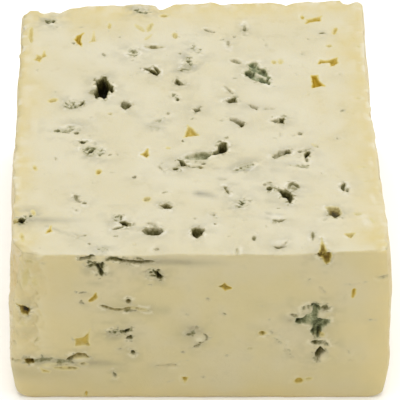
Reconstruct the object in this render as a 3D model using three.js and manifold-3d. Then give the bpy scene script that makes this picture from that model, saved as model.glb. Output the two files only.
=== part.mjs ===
// A block of blue cheese, cut square from a larger loaf.
// The top and the front are cut faces, with the openings between the curds laid bare.
// The two sides, the back and the bottom are rind, which bulges a little and rounds off below.
// Millimetres, +Z up: X runs along the front, Y from the front to the back.
import * as THREE from "three";
import { mergeVertices } from "three/addons/utils/BufferGeometryUtils.js";
import Module from "manifold-3d";

// The block
const WIDTH = 110; // across the cut top
const DEPTH = 121; // front cut to back rind, before the back is set out
const HEIGHT = 57;

// The rind
const SIDE_BULGE = 1.9; // how far each side stands out below the top
const BULGE_HEIGHT = 15; // where a side is widest
const FOOT_DRAW = 0.5; // share of the bulge that is lost again at the foot
const BULGE_CURVE = { above: 1.5, below: 2 }; // powers by which the bulge draws in
const RIND_ROUND = 3; // the edge between the sides and the bottom
const FOOT_BLEND = 0.1; // share of a half size over which that round gives way to the cut front's
const RIPPLE = 0.4; // unevenness of every face but the bottom
const RIPPLE_LENGTH = 46;
const RIPPLE_WAVES = [[1, 0.6, 0], [-0.5, 1.7, 1]]; // steps along both axes, and the start of each wave
const FACE_FADE = 3; // power by which the unevenness of a face fades away from it

// The cuts
const CUT_ROUND = 0.7; // edges along a cut
const BACK_SET = 1.6; // how far the back rind stands beyond the depth
const BACK_SKEW = 1.6; // the right end of the back lies this much farther, the left end nearer
const FRONT_TWIST = 1.05; // the foot of the front: forward on the right, set back on the left
const CORNER_ROUND = 3; // upright corners
const LEFT_BEVEL = 6; // added round of the crumbled front left corner, at the top
const RIGHT_BEVEL = 1.5; // the same at the front right
const BEVEL_FOOT = 0.4 * HEIGHT; // height at which the added round begins

// The grid that the block is formed on: counts of steps, drawn closer towards the edges
const STEPS = { x: 18, y: 20, z: 10 };
const EDGE_DRAW = 1.6;

// The openings: hollow-sided outlines, uneven by a seeded draw, that narrow with depth
const SIDE_POINTS = 4; // points along each side of an outline
const HOLLOW = 0.38; // how far a side draws in towards the middle
const CUSP_SWAY = 0.5; // how far a cusp may stray towards the next, as a share of the gap
const CUSP_REACH = [0.72, 1]; // how far the cusps reach, as a share of the stated size
const CLEAR = 2; // how far the cutting form stands proud of the face
const PIT_STEPS = 2;
const FLOOR_SHARE = 0.5; // width of the floor, as a share of the mouth
const WALL_CURVE = 2; // power by which an opening narrows

// Each opening lies at X and Y on the top, or at X and Z on the front. Its size is its length
// and width, its turn the angle of its length from X, and its cusps the points of its outline.
const TOP_OPENINGS = [
  { name: "star", at: [-28.5, 18.5], size: [12.5, 8.5], turn: 100, cusps: 5, depth: 5.5 },
  { name: "star lobe", at: [-31, 16], size: [5.5, 4], turn: 215, cusps: 3, depth: 3 },
  { name: "diamond", at: [-21.5, 10], size: [5, 3.8], turn: 90, cusps: 4, depth: 1.8 },
  { name: "forked crack", at: [-13, 26.5], size: [5.5, 5], turn: 60, cusps: 3, depth: 2 },
  { name: "back middle", at: [-5, 20.5], size: [5, 3.6], turn: -35, cusps: 3, depth: 1.8 },
  { name: "middle small", at: [0.2, 6.3], size: [3.2, 2.8], turn: 0, cusps: 4, depth: 1.8 },
  { name: "middle right", at: [11, 11], size: [4.4, 3.4], turn: 60, cusps: 3, depth: 2.4 },
  { name: "streak", at: [18.5, 8.1], size: [9, 3.6], turn: -10, cusps: 3, depth: 1.6 },
  { name: "slanted vein", at: [12, 1], size: [8.6, 4], turn: -30, cusps: 4, depth: 2.2 },
  { name: "right dark", at: [26.3, 1.3], size: [4.2, 3.2], turn: 90, cusps: 3, depth: 2.4 },
  { name: "great patch", at: [20, 26], size: [13.5, 9.5], turn: 75, cusps: 5, depth: 1.5 },
  { name: "cave mouth", at: [7.3, -12], size: [6.4, 4.4], turn: 80, cusps: 3, depth: 3.8 },
  { name: "cave middle", at: [0, -16], size: [9, 5], turn: 15, cusps: 4, depth: 2.2 },
  { name: "cave end", at: [-4, -18.5], size: [4, 3.8], turn: 200, cusps: 3, depth: 2.6 },
  { name: "right vein", at: [26, -14.8], size: [6.4, 4.2], turn: 10, cusps: 4, depth: 2.6 },
  { name: "right crack", at: [33, -15.5], size: [5, 1.8], turn: 80, cusps: 2, depth: 2.6 },
  { name: "slanted dark", at: [25.6, -34], size: [8.6, 4.4], turn: -62, cusps: 3, depth: 3 },
  { name: "right triangle", at: [39.3, -43], size: [6, 5.6], turn: 95, cusps: 3, depth: 1.4 },
  { name: "front dark", at: [-13.7, -49.8], size: [8.4, 4.8], turn: 180, cusps: 4, depth: 2.4 },
  { name: "front round", at: [-1, -51], size: [6.2, 5.2], turn: 75, cusps: 4, depth: 2.8 },
  { name: "front left", at: [-22, -46], size: [4, 3.4], turn: 220, cusps: 3, depth: 2.6 },
  { name: "front vein", at: [-9.5, -38.7], size: [6, 3.2], turn: -15, cusps: 3, depth: 1.8 },
  { name: "left curd", at: [-38.5, 9.5], size: [5.4, 4.2], turn: 70, cusps: 4, depth: 1 },
  { name: "left vein", at: [-38.5, -2.7], size: [6.8, 3.8], turn: 180, cusps: 4, depth: 1 },
  { name: "back crescent", at: [-36.2, 43.7], size: [7.6, 3], turn: 75, cusps: 3, depth: 1.6 },
  { name: "right amber", at: [37.6, 20.2], size: [7.4, 5], turn: 65, cusps: 4, depth: 2 },
  { name: "far right amber", at: [43.5, 29.7], size: [5, 4.4], turn: 40, cusps: 4, depth: 1.6 },
  { name: "back amber", at: [38.8, 53], size: [5.4, 4], turn: 0, cusps: 4, depth: 1.6 },
  { name: "pale triangle", at: [-1.7, -4], size: [6.4, 4.6], turn: 85, cusps: 3, depth: 1.6 },
  { name: "right slit", at: [43.3, -30.7], size: [4.4, 2.2], turn: 80, cusps: 3, depth: 2 },
  { name: "edge hole", at: [35.5, -58.5], size: [9, 4.6], turn: -85, cusps: 4, depth: 2 },
];
const FRONT_OPENINGS = [
  { name: "edge crack", at: [-19.5, 55.5], size: [17, 2], turn: -4, cusps: 2, depth: 2.6 },
  { name: "edge crack end", at: [-32, 56.7], size: [5, 1.4], turn: 8, cusps: 2, depth: 1.8 },
  { name: "left fork", at: [-29, 52.8], size: [7.4, 4.4], turn: -75, cusps: 4, depth: 2.6 },
  { name: "dark pit", at: [-12.3, 49.5], size: [4.4, 3.2], turn: -55, cusps: 3, depth: 2.2 },
  { name: "amber star", at: [7.2, 44], size: [4, 4], turn: 0, cusps: 4, depth: 1.4 },
  { name: "amber slit", at: [-31.2, 40.7], size: [3.8, 2.4], turn: 70, cusps: 3, depth: 1.4 },
  { name: "needle hole", at: [-52, 36], size: [4.2, 4], turn: -20, cusps: 5, depth: 1.6 },
  { name: "tan hollow", at: [-35, 23.3], size: [5.6, 4.2], turn: 30, cusps: 4, depth: 1.2 },
  { name: "left dark", at: [-21.5, 26.4], size: [5, 3.6], turn: 100, cusps: 4, depth: 2.6 },
  { name: "needle track", at: [-44, 15.4], size: [20, 2.4], turn: -2, cusps: 2, depth: 1 },
  { name: "arched crack", at: [-36, 17.5], size: [6.6, 1.6], turn: 0, cusps: 2, depth: 1.5 },
  { name: "vein head", at: [34.8, 36.2], size: [6.6, 5], turn: 10, cusps: 4, depth: 2 },
  { name: "vein arm", at: [31, 31.2], size: [7.8, 3.2], turn: 178, cusps: 3, depth: 1.8 },
  { name: "vein root", at: [35, 28], size: [9, 5.2], turn: -85, cusps: 4, depth: 2.2 },
  { name: "dark drop", at: [36, 18], size: [6, 3.8], turn: 70, cusps: 4, depth: 2.4 },
  { name: "low amber", at: [29.6, 6.8], size: [3.2, 3], turn: 40, cusps: 4, depth: 1.2 },
  { name: "low wedge", at: [-4.3, 7.3], size: [3.8, 2.8], turn: 255, cusps: 3, depth: 1.4 },
];

// Notches broken out of the back top edge, at X and Y on the top
const BACK_NOTCHES = [
  { name: "left notch", at: [-46, 61.4], size: [11, 8], turn: 0, cusps: 4, depth: 5 },
  { name: "middle notch", at: [-10, 62.8], size: [7.4, 6], turn: 270, cusps: 3, depth: 4 },
  { name: "right notch", at: [30, 63.6], size: [6, 5], turn: 270, cusps: 3, depth: 3 },
];

// Shallow flakes broken off the front left corner: round forms, sunk part of their width
const FLAKE_COUNT = 9;
const FLAKE_WIDTH = [7, 14];
const FLAKE_SINK = 0.9;
const FLAKE_WAY = -0.75; // the way the corner faces, in half turns from X
const FLAKE_SPREAD = 0.3; // how far the flakes spread to both sides of that way

// The seeded draw: each number is the one before it times a factor, less whole limits
const DRAW_SEED = 41;
const DRAW_FACTOR = 16807;
const DRAW_LIMIT = 2147483647;

const CHEESE_COLOUR = 0xe0d9bc;
const CHEESE_ROUGHNESS = 0.6;

function mix(low, high, share) {
  return low + (high - low) * share;
}

function smooth(value, low, high) {
  return THREE.MathUtils.smoothstep(value, low, high);
}

// Draws the even steps of a grid from -1 to 1 closer together towards both ends.
function drawToEdges(step) {
  return Math.sign(step) * (1 - Math.max(1 - Math.abs(step), 0) ** EDGE_DRAW);
}

// Rounds the edge between two faces: takes a point's distances from both, and turns the square
// corner of side `radius` into a quarter disc. Returns the two new distances.
function roundEdge(first, second, radius) {
  if (first >= radius || second >= radius) {
    return [first, second];
  }
  const a = 1 - first / radius;
  const b = 1 - second / radius;
  const shrink = Math.max(a, b) / Math.hypot(a, b);
  return [radius * (1 - a * shrink), radius * (1 - b * shrink)];
}

// The side stands out most at BULGE_HEIGHT, and draws in to nothing at the top and partly at the foot.
function bulge(z) {
  const above = Math.max(z - BULGE_HEIGHT, 0) / (HEIGHT - BULGE_HEIGHT);
  const below = Math.max(BULGE_HEIGHT - z, 0) / BULGE_HEIGHT;
  const kept = 1 - FOOT_DRAW * below ** BULGE_CURVE.below;
  return SIDE_BULGE * (1 - above ** BULGE_CURVE.above) * kept;
}

// Slow waves over a face, from two of its own coordinates.
function ripple(a, b) {
  const turn = (2 * Math.PI) / RIPPLE_LENGTH;
  let sum = 0;
  for (const [alongA, alongB, start] of RIPPLE_WAVES) {
    sum += Math.sin(turn * (alongA * a + alongB * b) + start);
  }
  return (RIPPLE * sum) / RIPPLE_WAVES.length;
}

// Radius of the upright corner on this side of the middle, at this height.
function cornerRadius(x, y, z) {
  const bevel = x < 0 ? LEFT_BEVEL : RIGHT_BEVEL;
  return CORNER_ROUND + (y < 0 ? bevel * smooth(z, BEVEL_FOOT, HEIGHT) : 0);
}

// Carries a point of the cube from -1 to 1 onto the block: rounds the top and bottom edges by
// moving each level ring inwards, rounds the upright corners, then bulges, skews and ripples.
function formBlock(u, v, w) {
  const halfWidth = WIDTH / 2;
  const halfDepth = DEPTH / 2;
  let x = u * halfWidth;
  let y = v * halfDepth;
  let z = ((w + 1) / 2) * HEIGHT;

  const inset = Math.min(halfWidth - Math.abs(x), halfDepth - Math.abs(y));
  const fromTop = roundEdge(inset, HEIGHT - z, CUT_ROUND);
  const atSide = smooth(Math.abs(u), 1 - FOOT_BLEND, 1);
  const atRind = Math.max(smooth(v, -1, FOOT_BLEND - 1), atSide);
  const footRound = mix(CUT_ROUND, RIND_ROUND, atRind);
  const fromFoot = roundEdge(inset, z, footRound);
  const moved = Math.max(fromTop[0], fromFoot[0]) - inset;
  x -= (Math.sign(x) * moved * Math.abs(x)) / halfWidth;
  y -= (Math.sign(y) * moved * Math.abs(y)) / halfDepth;
  z = z > HEIGHT / 2 ? HEIGHT - fromTop[1] : fromFoot[1];

  const radius = cornerRadius(x, y, z);
  const corner = roundEdge(halfWidth - Math.abs(x), halfDepth - Math.abs(y), radius);
  x = Math.sign(x) * (halfWidth - corner[0]);
  y = Math.sign(y) * (halfDepth - corner[1]);

  const rise = smooth(z, 0, RIND_ROUND);
  x += u * bulge(z) + u ** FACE_FADE * rise * ripple(y, z);
  y += Math.max(v, 0) * (bulge(z) + BACK_SKEW * u + BACK_SET);
  y += v ** FACE_FADE * rise * ripple(x, z);
  y -= Math.max(-v, 0) * FRONT_TWIST * u * (1 - z / HEIGHT);
  z += Math.max(w, 0) ** FACE_FADE * ripple(x, y);
  return [x, y, z];
}

// The whole block before anything is broken out of it.
function blockGeometry() {
  const geometry = new THREE.BoxGeometry(2, 2, 2, STEPS.x, STEPS.y, STEPS.z);
  const position = geometry.attributes.position;
  for (let i = 0; i < position.count; i += 1) {
    const u = drawToEdges(position.getX(i));
    const v = drawToEdges(position.getY(i));
    const w = drawToEdges(position.getZ(i));
    position.setXYZ(i, ...formBlock(u, v, w));
  }
  return geometry;
}

// The next number of the seeded draw, from 0 to 1.
let drawState = DRAW_SEED;
function draw() {
  drawState = (drawState * DRAW_FACTOR) % DRAW_LIMIT;
  return drawState / DRAW_LIMIT;
}

// The outline of a gap between rounded curds: uneven cusps, joined by sides that draw inwards.
// An outline of two cusps is a lens instead.
function cuspedOutline({ size, cusps }) {
  const [halfLength, halfWidth] = [size[0] / 2, size[1] / 2];
  const points = [];
  for (let i = 0; i < cusps; i += 1) {
    const angle = (2 * Math.PI * (i + CUSP_SWAY * (draw() - 0.5))) / cusps;
    const reach = mix(...CUSP_REACH, draw());
    points.push([halfLength * reach * Math.cos(angle), halfWidth * reach * Math.sin(angle)]);
  }
  const shape = new THREE.Shape();
  shape.moveTo(...points[0]);
  for (let i = 0; i < cusps; i += 1) {
    const [x, y] = points[i];
    const [nextX, nextY] = points[(i + 1) % cusps];
    const lens = [0, i === 0 ? 2 * halfWidth : -2 * halfWidth];
    const inward = [(1 - HOLLOW) * (x + nextX) / 2, (1 - HOLLOW) * (y + nextY) / 2];
    shape.quadraticCurveTo(...(cusps === 2 ? lens : inward), nextX, nextY);
  }
  return shape;
}

// A cutting form for one opening, its mouth at z = 0 and its floor at -depth.
function openingGeometry(opening) {
  const length = CLEAR + opening.depth;
  const geometry = new THREE.ExtrudeGeometry(cuspedOutline(opening), {
    depth: length,
    steps: PIT_STEPS,
    curveSegments: SIDE_POINTS,
    bevelEnabled: false,
  });
  const position = geometry.attributes.position;
  for (let i = 0; i < position.count; i += 1) {
    const height = position.getZ(i) - opening.depth;
    const sunk = Math.max(-height, 0) / opening.depth;
    const share = mix(1, FLOOR_SHARE, sunk ** WALL_CURVE);
    position.setXYZ(i, position.getX(i) * share, position.getY(i) * share, height);
  }
  return geometry.rotateZ(THREE.MathUtils.degToRad(opening.turn));
}

function topCut(opening) {
  return openingGeometry(opening).translate(opening.at[0], opening.at[1], HEIGHT);
}

function frontCut(opening) {
  const geometry = openingGeometry(opening).rotateX(Math.PI / 2);
  return geometry.translate(opening.at[0], -DEPTH / 2, opening.at[1]);
}

// Rounded forms along the bevelled corner, each sunk a little into its surface.
function flakeCuts() {
  const cuts = [];
  for (let i = 0; i < FLAKE_COUNT; i += 1) {
    const z = mix(BEVEL_FOOT, HEIGHT, (i + draw()) / FLAKE_COUNT);
    const across = draw() - 0.5;
    const radius = mix(...FLAKE_WIDTH, draw()) / 2;
    const round = cornerRadius(-1, -1, z);
    const way = Math.PI * (FLAKE_WAY - FLAKE_SPREAD * across);
    const reach = round + radius - FLAKE_SINK;
    const x = -WIDTH / 2 + round + reach * Math.cos(way) - bulge(z);
    const y = -DEPTH / 2 + round + reach * Math.sin(way);
    cuts.push(new THREE.IcosahedronGeometry(radius, 1).translate(x, y, z));
  }
  return cuts;
}

const wasm = await Module();
wasm.setup();

function toSolid(geometry) {
  geometry.deleteAttribute("normal");
  geometry.deleteAttribute("uv");
  const merged = mergeVertices(geometry);
  const mesh = new wasm.Mesh({
    numProp: 3,
    vertProperties: new Float32Array(merged.attributes.position.array),
    triVerts: new Uint32Array(merged.index.array),
  });
  return new wasm.Manifold(mesh);
}

function toGeometry(solid) {
  const mesh = solid.getMesh();
  const geometry = new THREE.BufferGeometry();
  geometry.setAttribute("position", new THREE.BufferAttribute(mesh.vertProperties, 3));
  geometry.setIndex(new THREE.BufferAttribute(mesh.triVerts, 1));
  geometry.computeVertexNormals();
  return geometry;
}

// The block, with its openings, notches and flakes cut away, standing at the middle of its foot.
function cheeseBlock() {
  let solid = toSolid(blockGeometry());
  const cuts = [
    ...TOP_OPENINGS.map(topCut),
    ...BACK_NOTCHES.map(topCut),
    ...FRONT_OPENINGS.map(frontCut),
    ...flakeCuts(),
  ];
  for (const cut of cuts) {
    solid = solid.subtract(toSolid(cut));
  }
  const geometry = toGeometry(solid);
  geometry.computeBoundingBox();
  const middle = geometry.boundingBox.getCenter(new THREE.Vector3());
  geometry.translate(-middle.x, -middle.y, -geometry.boundingBox.min.z);
  const material = new THREE.MeshStandardMaterial({
    color: CHEESE_COLOUR,
    roughness: CHEESE_ROUGHNESS,
    metalness: 0,
  });
  const mesh = new THREE.Mesh(geometry, material);
  mesh.name = "cheese_block";
  return mesh;
}

const cheese = new THREE.Group();
cheese.add(cheeseBlock());

export default cheese;
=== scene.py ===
"""A rectangular block of blue cheese on a pale floor, built round its CAD frame."""
import itertools
import math

import bpy
import numpy as np
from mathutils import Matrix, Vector


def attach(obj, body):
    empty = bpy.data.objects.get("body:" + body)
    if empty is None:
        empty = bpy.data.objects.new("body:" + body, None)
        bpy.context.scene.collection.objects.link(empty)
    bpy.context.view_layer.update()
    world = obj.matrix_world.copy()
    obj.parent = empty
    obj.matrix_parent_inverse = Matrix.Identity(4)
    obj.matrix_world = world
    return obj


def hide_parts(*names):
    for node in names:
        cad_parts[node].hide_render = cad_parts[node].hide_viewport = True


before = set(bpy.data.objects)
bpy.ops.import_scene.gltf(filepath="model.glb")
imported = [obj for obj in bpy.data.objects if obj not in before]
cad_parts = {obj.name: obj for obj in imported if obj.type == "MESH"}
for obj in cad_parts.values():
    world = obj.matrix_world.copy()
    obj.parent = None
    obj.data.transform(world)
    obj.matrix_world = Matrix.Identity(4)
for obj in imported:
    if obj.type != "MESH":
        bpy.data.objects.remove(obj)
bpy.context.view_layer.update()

scene = bpy.context.scene


# The block: curd that was salted, drained and ripened in a loaf, then cut square with a wire.
# The top and the front are cuts. The sides, back and bottom are natural rind, which bulges a little
# and is rounded where the loaf stood. Sizes are in millimetres, X along the front and Y to the back.
WIDTH = 110
DEPTH = 121
HEIGHT = 57
CENTRE = (0.0, 2.0)  # the middle of the block's outline, which stands at the origin
SIDE_BULGE = 1.9
BULGE_HEIGHT = 15
BULGE_POWERS = (1.5, 2)  # how the bulge falls off towards the top and towards the foot
FOOT_DRAW = 0.5  # share of the bulge that is lost again at the foot
RIPPLE = 0.4
RIPPLE_LENGTH = 46
RIPPLE_WAVES = ((1, 0.6, 0), (-0.5, 1.7, 1))  # how each wave runs along a face's two axes, and its phase
BACK_SKEW = 1.6
BACK_SET = 1.6  # how far the back stands behind the plain box
FRONT_TWIST = 1.05

# Rounds of its edges, and how they crumble. A noise is given by its length and its seed
CUT_ROUND = 0.7
RIND_ROUND = 3
RIM_ROUND = 1.3  # where the top meets the rind
ROUND_BLEND = 0.1  # share of the half width or depth over which one round passes into another
CORNER_ROUND = 3
LEFT_BEVEL = 6
RIGHT_BEVEL = 1.5
BEVEL_FOOT = 0.4 * HEIGHT
CUT_CRUMBLE = 0.9  # share by which the round of a cut edge comes and goes
CRUMBLE_NOISE = (3.2, 3)
EDGE_WEAR = 0.5  # how far crumbs are lost along the top edges of the rind
WEAR_NOISE = (3.6, 51)
WEAR_LIMITS = (-0.1, 0.8)  # noise at which the wear starts and at which it is full
WEAR_REACH = 4

# Corners of the front top edge that crumble: how far out that starts and is full, and the added round
LEFT_CRUMBLE = (43, 54, 3.2)
RIGHT_CRUMBLE = (47, 54, 2)
CRUMBLE_REACH = 9  # how far back from the front they do

# Crumbs lost from the top edge of the back: X, and how far the edge lies in front of its line
BACK_CHIPS = [
    (-55, 0), (-49.4, 0), (-48.8, 1.1), (-45.2, 1.2), (-42.6, 2), (-39.4, -0.8), (-33, -1.6), (-22, -1.3),
    (-11.8, -0.6), (-10.8, 1.7), (-9.4, 1.6), (-6.5, -0.2), (0, -1.4), (7, -0.2), (14, 0.7), (20, 0.7),
    (25, 0.4), (28.6, 0.4), (30, 1.3), (32, 0.4), (37, -0.5), (47.4, -0.9), (48.2, 1), (50.4, 0.8),
    (52.5, 0), (55, 0.3),
]
CHIP_REACH = 9  # how far from the edge the faces bend to meet it
CHIP_FULL = 1  # how far below the top they have met it

# The right top edge: Y, and how far it lies outside its line
RIGHT_EDGE = [
    (-60, 0.5), (-46, 0.9), (-36, 0.2), (-22, -0.5), (-10, -0.6), (2, -1.2), (27, -1.2), (45, -0.3),
    (60, 0),
]
EDGE_START = 0.6  # share of the half width from which the top bends to meet it
TINY = 1e-9  # stands in for nothing where something is divided by it

# Numbers that scramble a cell of the noise into a value that looks random
NOISE_SHIFT = 100  # cells by which the origin lies inside the grid
CELL_STEPS = np.array([73856093, 19349663, 83492791])
SEED_STEP = 2654435761
SCRAMBLE = ((15, 2246822519), (13, 3266489917))
LAST_SHIFT = 16
ALL_BITS = 0xFFFFFFFF
HALF_BITS = 0x7FFFFFFF


def smooth(value, low, high):
    """From 0 at low to 1 at high, level at both ends."""
    share = np.clip((value - low) / (high - low), 0, 1)
    return share * share * (3 - 2 * share)


def noise(points, length, seed):
    """Smooth noise from -1 to 1: a scrambled value at each corner of a grid of cells of that length,
    blended inside the cells by a fifth-degree curve."""
    places = np.asarray(points) / length + NOISE_SHIFT
    cells = np.floor(places).astype(np.int64)
    part = places - cells
    blend = part ** 3 * (part * (part * 6 - 15) + 10)
    total = np.zeros(len(places))
    for corner in itertools.product((0, 1), repeat=places.shape[1]):
        at = cells + np.array(corner)
        key = (at * CELL_STEPS[:at.shape[1]]).sum(axis=1) + seed * SEED_STEP
        for shift, factor in SCRAMBLE:
            key = (key ^ (key >> shift)) * factor & ALL_BITS
        key = key ^ (key >> LAST_SHIFT)
        weight = np.where(np.array(corner) == 1, blend, 1 - blend).prod(axis=1)
        total += weight * (key / HALF_BITS - 1)
    return total


def round_edge(first, second, radius):
    """Turns the square corner between two faces into a quarter disc: takes the distances of points
    from both faces, and returns the new distances."""
    a = np.clip(1 - first / radius, 0, None)
    b = np.clip(1 - second / radius, 0, None)
    both = (a > 0) & (b > 0)
    shrink = np.where(both, np.maximum(a, b) / np.maximum(np.hypot(a, b), TINY), 1)
    ends = (a, first), (b, second)
    return [np.where(both, radius * (1 - share * shrink), away) for share, away in ends]


def bulge(z):
    """How far a side stands out: most at BULGE_HEIGHT, nothing at the top, and part of it at the foot."""
    above = np.clip(z - BULGE_HEIGHT, 0, None) / (HEIGHT - BULGE_HEIGHT)
    below = np.clip(BULGE_HEIGHT - z, 0, None) / BULGE_HEIGHT
    return SIDE_BULGE * (1 - above ** BULGE_POWERS[0]) * (1 - FOOT_DRAW * below ** BULGE_POWERS[1])


def ripple(a, b):
    """Slow waves over a face: the mean of sines of its own two coordinates."""
    turn = 2 * math.pi / RIPPLE_LENGTH
    waves = [np.sin(turn * (along_a * a + along_b * b) + phase) for along_a, along_b, phase in RIPPLE_WAVES]
    return RIPPLE * np.mean(waves, axis=0)


def form_block(box):
    """Carries points of a plain box onto the block: rounds the top and bottom edges by moving each
    level ring inwards, rounds the upright corners, then bulges, skews, ripples, chips and wears."""
    half_width, half_depth = WIDTH / 2, DEPTH / 2
    x, y, z = box.T
    u, v, w = x / half_width, y / half_depth, 2 * z / HEIGHT - 1
    inset = np.minimum(half_width - np.abs(x), half_depth - np.abs(y))
    behind_cut = smooth(v, -1, ROUND_BLEND - 1)
    rim_round = CUT_ROUND + (RIM_ROUND - CUT_ROUND) * behind_cut
    crumble = rim_round * (1 + CUT_CRUMBLE * noise(box, *CRUMBLE_NOISE))
    at_front = smooth(-y, half_depth - CRUMBLE_REACH, half_depth)
    for side, (start, full, added) in ((-1, LEFT_CRUMBLE), (1, RIGHT_CRUMBLE)):
        crumble += added * smooth(side * x, start, full) * at_front
    from_top = round_edge(inset, HEIGHT - z, crumble)
    at_rind = np.maximum(behind_cut, smooth(np.abs(u), 1 - ROUND_BLEND, 1))
    from_foot = round_edge(inset, z, CUT_ROUND + (RIND_ROUND - CUT_ROUND) * at_rind)
    moved = np.maximum(from_top[0], from_foot[0]) - inset
    x = x - np.sign(x) * moved * np.abs(u)
    y = y - np.sign(y) * moved * np.abs(v)
    z = np.where(z > HEIGHT / 2, HEIGHT - from_top[1], from_foot[1])

    bevel = np.where(x < 0, LEFT_BEVEL, RIGHT_BEVEL) * smooth(z, BEVEL_FOOT, HEIGHT)
    radius = CORNER_ROUND + np.where(y < 0, bevel, 0)
    corner = round_edge(half_width - np.abs(x), half_depth - np.abs(y), radius)
    x = np.sign(x) * (half_width - corner[0])
    y = np.sign(y) * (half_depth - corner[1])

    rise = smooth(z, 0, RIND_ROUND)
    x = x + u * bulge(z) + u ** 3 * rise * ripple(y, z)
    y = y + np.clip(v, 0, None) * (bulge(z) + BACK_SKEW * u + BACK_SET) + v ** 3 * rise * ripple(x, z)
    y = y - np.clip(-v, 0, None) * FRONT_TWIST * u * (1 - z / HEIGHT)
    z = z + np.clip(w, 0, None) ** 3 * ripple(x, y)

    places, chips = np.array(BACK_CHIPS).T
    bend = smooth(y, half_depth - CHIP_REACH, half_depth)
    bend = bend * smooth(z, HEIGHT - CHIP_REACH, HEIGHT - CHIP_FULL)
    y = y - np.interp(x, places, chips) * bend
    places, edge = np.array(RIGHT_EDGE).T
    x = x + np.interp(y, places, edge) * smooth(u, EDGE_START, 1) * smooth(z, BEVEL_FOOT, HEIGHT)
    worn = EDGE_WEAR * smooth(noise(box, *WEAR_NOISE), *WEAR_LIMITS)
    worn = worn * smooth(z, HEIGHT - WEAR_REACH, HEIGHT)
    x = x - np.sign(x) * worn * smooth(np.abs(u) * half_width, half_width - WEAR_REACH, half_width)
    y = y - np.sign(y) * worn * smooth(v * half_depth, half_depth - WEAR_REACH, half_depth)
    return np.stack([x, y, z], axis=1)


# The openings in the cut faces: gaps that were left between the curds, where the mould grew.
# Small gaps in fresh paste are bare and amber with whey. Those that air reached are lined with mould,
# grey green where it is thin and almost black where it is thick and deep, the blackest partly painted
# shade.
HOLLOW = 0.05  # how far the side of a gap draws in, as a share of its length
SIDE_STEPS = 4
THIN_END = 0.2  # width of the end of a crack, as a share of its width


def hollow_loop(cusps, hollow):
    """The outline of a gap between round curds: cusps in order, joined by quadratic curves that
    draw towards the middle by that share of their length, or stand out if it is less than nothing."""
    cusps = np.array(cusps, float)
    after = np.roll(cusps, -1, axis=0)
    along = after - cusps
    inward = np.stack([-along[:, 1], along[:, 0]], axis=1)
    turning = np.sum(cusps[:, 0] * after[:, 1] - cusps[:, 1] * after[:, 0])
    middle = (cusps + after) / 2 + 2 * hollow * np.sign(turning) * inward
    t = (np.arange(SIDE_STEPS) / SIDE_STEPS)[None, :, None]
    curve = (1 - t) ** 2 * cusps[:, None] + 2 * t * (1 - t) * middle[:, None] + t * t * after[:, None]
    return curve.reshape(-1, 2)


def to_sides(points, start, end):
    """Distance of each point from each straight side, and the share along the side where it is
    nearest."""
    along = end - start
    off = points[:, None] - start
    share = np.clip((off * along).sum(axis=2) / (along ** 2).sum(axis=1), 0, 1)
    return np.linalg.norm(off - share[:, :, None] * along, axis=2), share


def gap(cusps, depth, fall=(0, 0), hollow=HOLLOW, **lining):
    """An opening with cusps: its signed distance is less than nothing inside the outline. Its floor
    falls away along `fall`."""
    loop = hollow_loop(cusps, hollow)
    after = np.roll(loop, -1, axis=0)

    def distance(points):
        away = to_sides(points, loop, after)[0].min(axis=1)
        rise = np.where(after[:, 1] == loop[:, 1], TINY, after[:, 1] - loop[:, 1])
        crosses = (loop[:, 1] > points[:, 1:]) != (after[:, 1] > points[:, 1:])
        meets = loop[:, 0] + (points[:, 1:] - loop[:, 1]) * (after[:, 0] - loop[:, 0]) / rise
        inside = (crosses & (points[:, :1] < meets)).sum(axis=1) % 2 == 1
        return np.where(inside, -away, away)
    return {"low": loop.min(axis=0), "high": loop.max(axis=0), "distance": distance,
            "depth": depth, "fall": fall, **lining}


def crack(path, width, depth, mould=0, amber=0, torn=0):
    """A narrow opening along a path: the distance from it, less half a width that thins towards
    both ends as the root of a parabola."""
    path = np.array(path, float)
    lengths = np.linalg.norm(np.diff(path, axis=0), axis=1)
    before = np.concatenate([[0], np.cumsum(lengths)])

    def distance(points):
        away, share = to_sides(points, path[:-1], path[1:])
        run = (before[:-1] + share * lengths) / before[-1]
        half = width / 2 * (THIN_END + (1 - THIN_END) * np.sqrt(np.clip(4 * run * (1 - run), 0, 1)))
        return (away - half).min(axis=1)
    return {"low": path.min(axis=0) - width / 2, "high": path.max(axis=0) + width / 2,
            "distance": distance, "depth": depth, "narrow": width, "mould": mould, "amber": amber,
            "torn": torn}


def pit(x, y, length, width, turn, depth, mould=0, amber=0, **lining):
    """A small rounded opening: an ellipse of that length and width, turned by degrees from the
    face's first axis."""
    at = np.array([x, y])
    half = np.array([length, width]) / 2
    c, s = math.cos(math.radians(turn)), math.sin(math.radians(turn))

    def distance(points):
        off = (points - at) @ np.array([[c, -s], [s, c]])
        return (np.hypot(*(off / half).T) - 1) * half.min()
    return {"low": at - half.max(), "high": at + half.max(), "distance": distance,
            "depth": depth, "narrow": min(length, width), "mould": mould, "amber": amber, **lining}


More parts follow.
